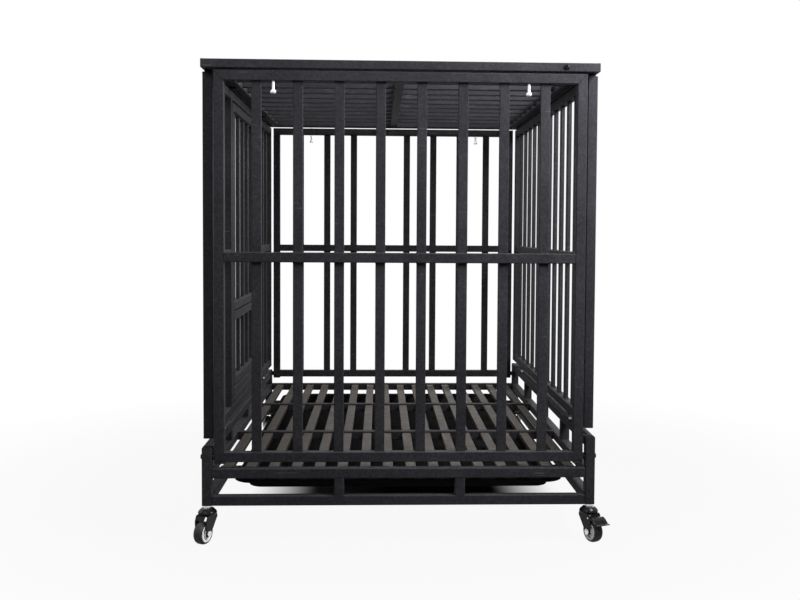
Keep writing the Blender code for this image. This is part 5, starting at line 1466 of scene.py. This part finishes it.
class CRATE_OT_top(bpy.types.Operator):
    """The lift-off top frame and the slatted lid"""

    bl_idname = "crate.top"
    bl_label = "Top"

    def execute(self, context):
        low, high = corners_of("top_frame")
        lid_low, lid_high = corners_of("top_lid")
        self.top_frame(low, high, lid_low.z - SEAT_GAP)
        width, length, depth = lid_high - lid_low
        middle = shift(z=centre_of(lid_low.z, lid_high.z))
        lid = Piece("top_lid_tubes")
        lid.ring(width, length, middle, depth)
        lid.row(LID_SLATS, LID_SLAT_PITCH, width - 2 * TUBE, middle @ QUARTER, seed=BEAD_SEEDS["lid"],
                depth=context.scene.crate_tubes.lid_slat_depth)
        lid.tube(length - 2 * TUBE, middle, depth=depth - LID_RIB_SLACK, beads=True)
        lid.make("top_lid")
        return {"FINISHED"}

    def top_frame(self, low, high, under):
        """A ring with sockets for the lock pins, pads over the side panels and lugs under the lid's edge."""
        half = (high.z - under) / 2
        sockets = []
        for name in frame["nodes"]:
            if name.startswith("lock_pin_"):
                pin = centre_of(*corners_of(name))
                sockets.append((pin.x, pin.y, -half - LOCK_SOCKET_START, -half + LOCK_TRAVEL,
                                LOCK_RADIUS + SEAT_GAP))
        piece = Piece("top_frame_tubes")
        piece.ring(high.x - low.x, high.y - low.y, shift(z=centre_of(under, high.z)), 2 * half, sockets)
        for sx, sy in itertools.product((-1, 1), repeat=2):
            x, far = sx * SIDE_X, sy * (SIDE_Y_OUT - PAD_SETBACK)
            piece.block((x - PAD_HALF_WIDTH, far - sy * PAD_LENGTH, low.z),
                        (x + PAD_HALF_WIDTH, far, under + PAD_SINK), "tray", PAD_EDGE)
        for y in (-high.y / 2, high.y / 2):
            piece.block((-X_IN - LUG_HOLD, y - LUG_HALF_WIDTH, under - LUG_THICKNESS),
                        (-X_IN + LUG_REACH, y + LUG_HALF_WIDTH, under + LUG_SINK))
        piece.make("top_frame")


class CRATE_OT_stage(bpy.types.Operator):
    """Set the floor, the soft lights, the surround and the camera"""

    bl_idname = "crate.stage"
    bl_label = "Studio Stage"

    def execute(self, context):
        settings = context.scene.crate_stage
        add_floor(settings)
        add_lights(settings)
        add_surround(settings)
        add_camera(settings)
        context.scene.view_settings.view_transform = "Standard"
        return {"FINISHED"}


def seen_directly(tree):
    """1 for what the camera, a gloss or a clear material sees, 0 for what lights the crate."""
    path = tree.nodes.new("ShaderNodeLightPath").outputs
    seen = math_node(tree, "MAXIMUM", path["Is Camera Ray"], path["Is Glossy Ray"])
    return math_node(tree, "MAXIMUM", seen, path["Is Transmission Ray"])


def link_mix(tree, factor, first, second, output):
    """Two shaders mixed into a tree's output."""
    mix = geo(tree, "ShaderNodeMixShader", {0: factor, 1: first.outputs[0], 2: second.outputs[0]})
    tree.links.new(mix, tree.nodes[output].inputs["Surface"])


def add_floor(settings):
    """A floor that takes the crate's shadow and looks white, but for the shade under the tray."""
    mesh = bpy.data.meshes.new("studio_floor")
    bm = bmesh.new()
    bmesh.ops.create_grid(bm, x_segments=8, y_segments=8, size=settings.floor_size / 2)
    bm.to_mesh(mesh)
    bm.free()
    floor = bpy.data.objects.new("studio_floor", mesh)
    bpy.context.scene.collection.objects.link(floor)
    material, tree, shader = new_material(
        "pale floor", Base_Color=FLOOR_GREY, Roughness=0.9, Specular_IOR_Level=0.0)
    glow = add_node(tree, "ShaderNodeEmission", {"Strength": 1.0})
    place = object_coordinates(tree)
    length = add_node(tree, "ShaderNodeVectorMath", {0: place}, operation="LENGTH").outputs["Value"]
    white = range_node(tree, length, **FLOOR_WHITE)
    sides = separated(tree, place)
    clear = []
    for axis, (middle, near, away) in SHADE_FADE.items():
        from_middle = math_node(tree, "ABSOLUTE", minus(tree, sides[axis], middle))
        clear.append(range_node(tree, from_middle, near, away))
    bright = times(tree, white, math_node(tree, "MAXIMUM", *clear))
    link_mix(tree, times(tree, bright, seen_directly(tree)), shader, glow, "Material Output")
    mesh.materials.append(material)


def add_lights(settings):
    """The soft area lights, each turned to its target."""
    for name, place, target, width, height, share in LIGHTS:
        light = bpy.data.lights.new(name, "AREA")
        light.shape = "RECTANGLE"
        light.size = width
        light.size_y = height
        light.energy = settings.key_power * share
        lamp = bpy.data.objects.new(name, light)
        lamp.location = place
        lamp.rotation_euler = (Vector(target) - Vector(place)).to_track_quat("-Z", "Y").to_euler()
        bpy.context.scene.collection.objects.link(lamp)


def add_surround(settings):
    """White all round for what sees it directly, and a faint even light for everything else."""
    world = bpy.data.worlds.new("pale surround")
    bpy.context.scene.world = world
    world.use_nodes = True
    tree = world.node_tree
    white = (1, 1, 1, 1)
    light = tree.nodes["Background"]
    light.inputs["Color"].default_value = white
    light.inputs["Strength"].default_value = settings.sky_strength
    backdrop = add_node(tree, "ShaderNodeBackground", {"Color": white, "Strength": 1.0})
    link_mix(tree, seen_directly(tree), light, backdrop, "World Output")


def add_camera(settings):
    """The camera that matches the photograph."""
    data = bpy.data.cameras.new("photo_camera")
    data.sensor_width = CAMERA_SENSOR
    data.lens = settings.lens
    data.shift_x, data.shift_y = CAMERA_SHIFT
    camera = bpy.data.objects.new("photo_camera", data)
    camera.location = CAMERA_PLACE
    camera.rotation_euler = Euler([math.radians(angle) for angle in CAMERA_TURN], "XYZ")
    bpy.context.scene.collection.objects.link(camera)
    bpy.context.scene.camera = camera


class CRATE_PT_panel(bpy.types.Panel):
    """The settings, and a button for each group of pieces in the order they are made"""

    bl_idname = "CRATE_PT_panel"
    bl_label = "Folding Dog Crate"
    bl_space_type = "VIEW_3D"
    bl_region_type = "UI"
    bl_category = "Crate"

    def draw(self, context):
        layout = self.layout
        for name, cls in SETTINGS.items():
            box = layout.box()
            for label in cls.__annotations__:
                box.prop(getattr(context.scene, name), label)
        for operator in OPERATORS:
            layout.operator(operator.bl_idname)


OPERATORS = (
    CRATE_OT_coat_nodes, CRATE_OT_base, CRATE_OT_end_panels, CRATE_OT_side_panels, CRATE_OT_doors,
    CRATE_OT_top, CRATE_OT_tray, CRATE_OT_casters, CRATE_OT_hardware, CRATE_OT_stage,
)
SETTINGS = {
    "crate_coat": CrateCoatSettings, "crate_tubes": CrateTubeSettings, "crate_stage": CrateStageSettings,
}


def register():
    for cls in (*SETTINGS.values(), *OPERATORS, CRATE_PT_panel):
        bpy.utils.register_class(cls)
    for name, cls in SETTINGS.items():
        setattr(bpy.types.Scene, name, PointerProperty(type=cls))


def unregister():
    for name in SETTINGS:
        delattr(bpy.types.Scene, name)
    for cls in reversed((*SETTINGS.values(), *OPERATORS, CRATE_PT_panel)):
        bpy.utils.unregister_class(cls)


def main():
    register()
    for operator in OPERATORS:
        step = operator.bl_idname.split(".")[1]
        if getattr(bpy.ops.crate, step)() != {"FINISHED"}:
            raise RuntimeError(f"{step} did not finish")


if __name__ == "__main__":
    main()
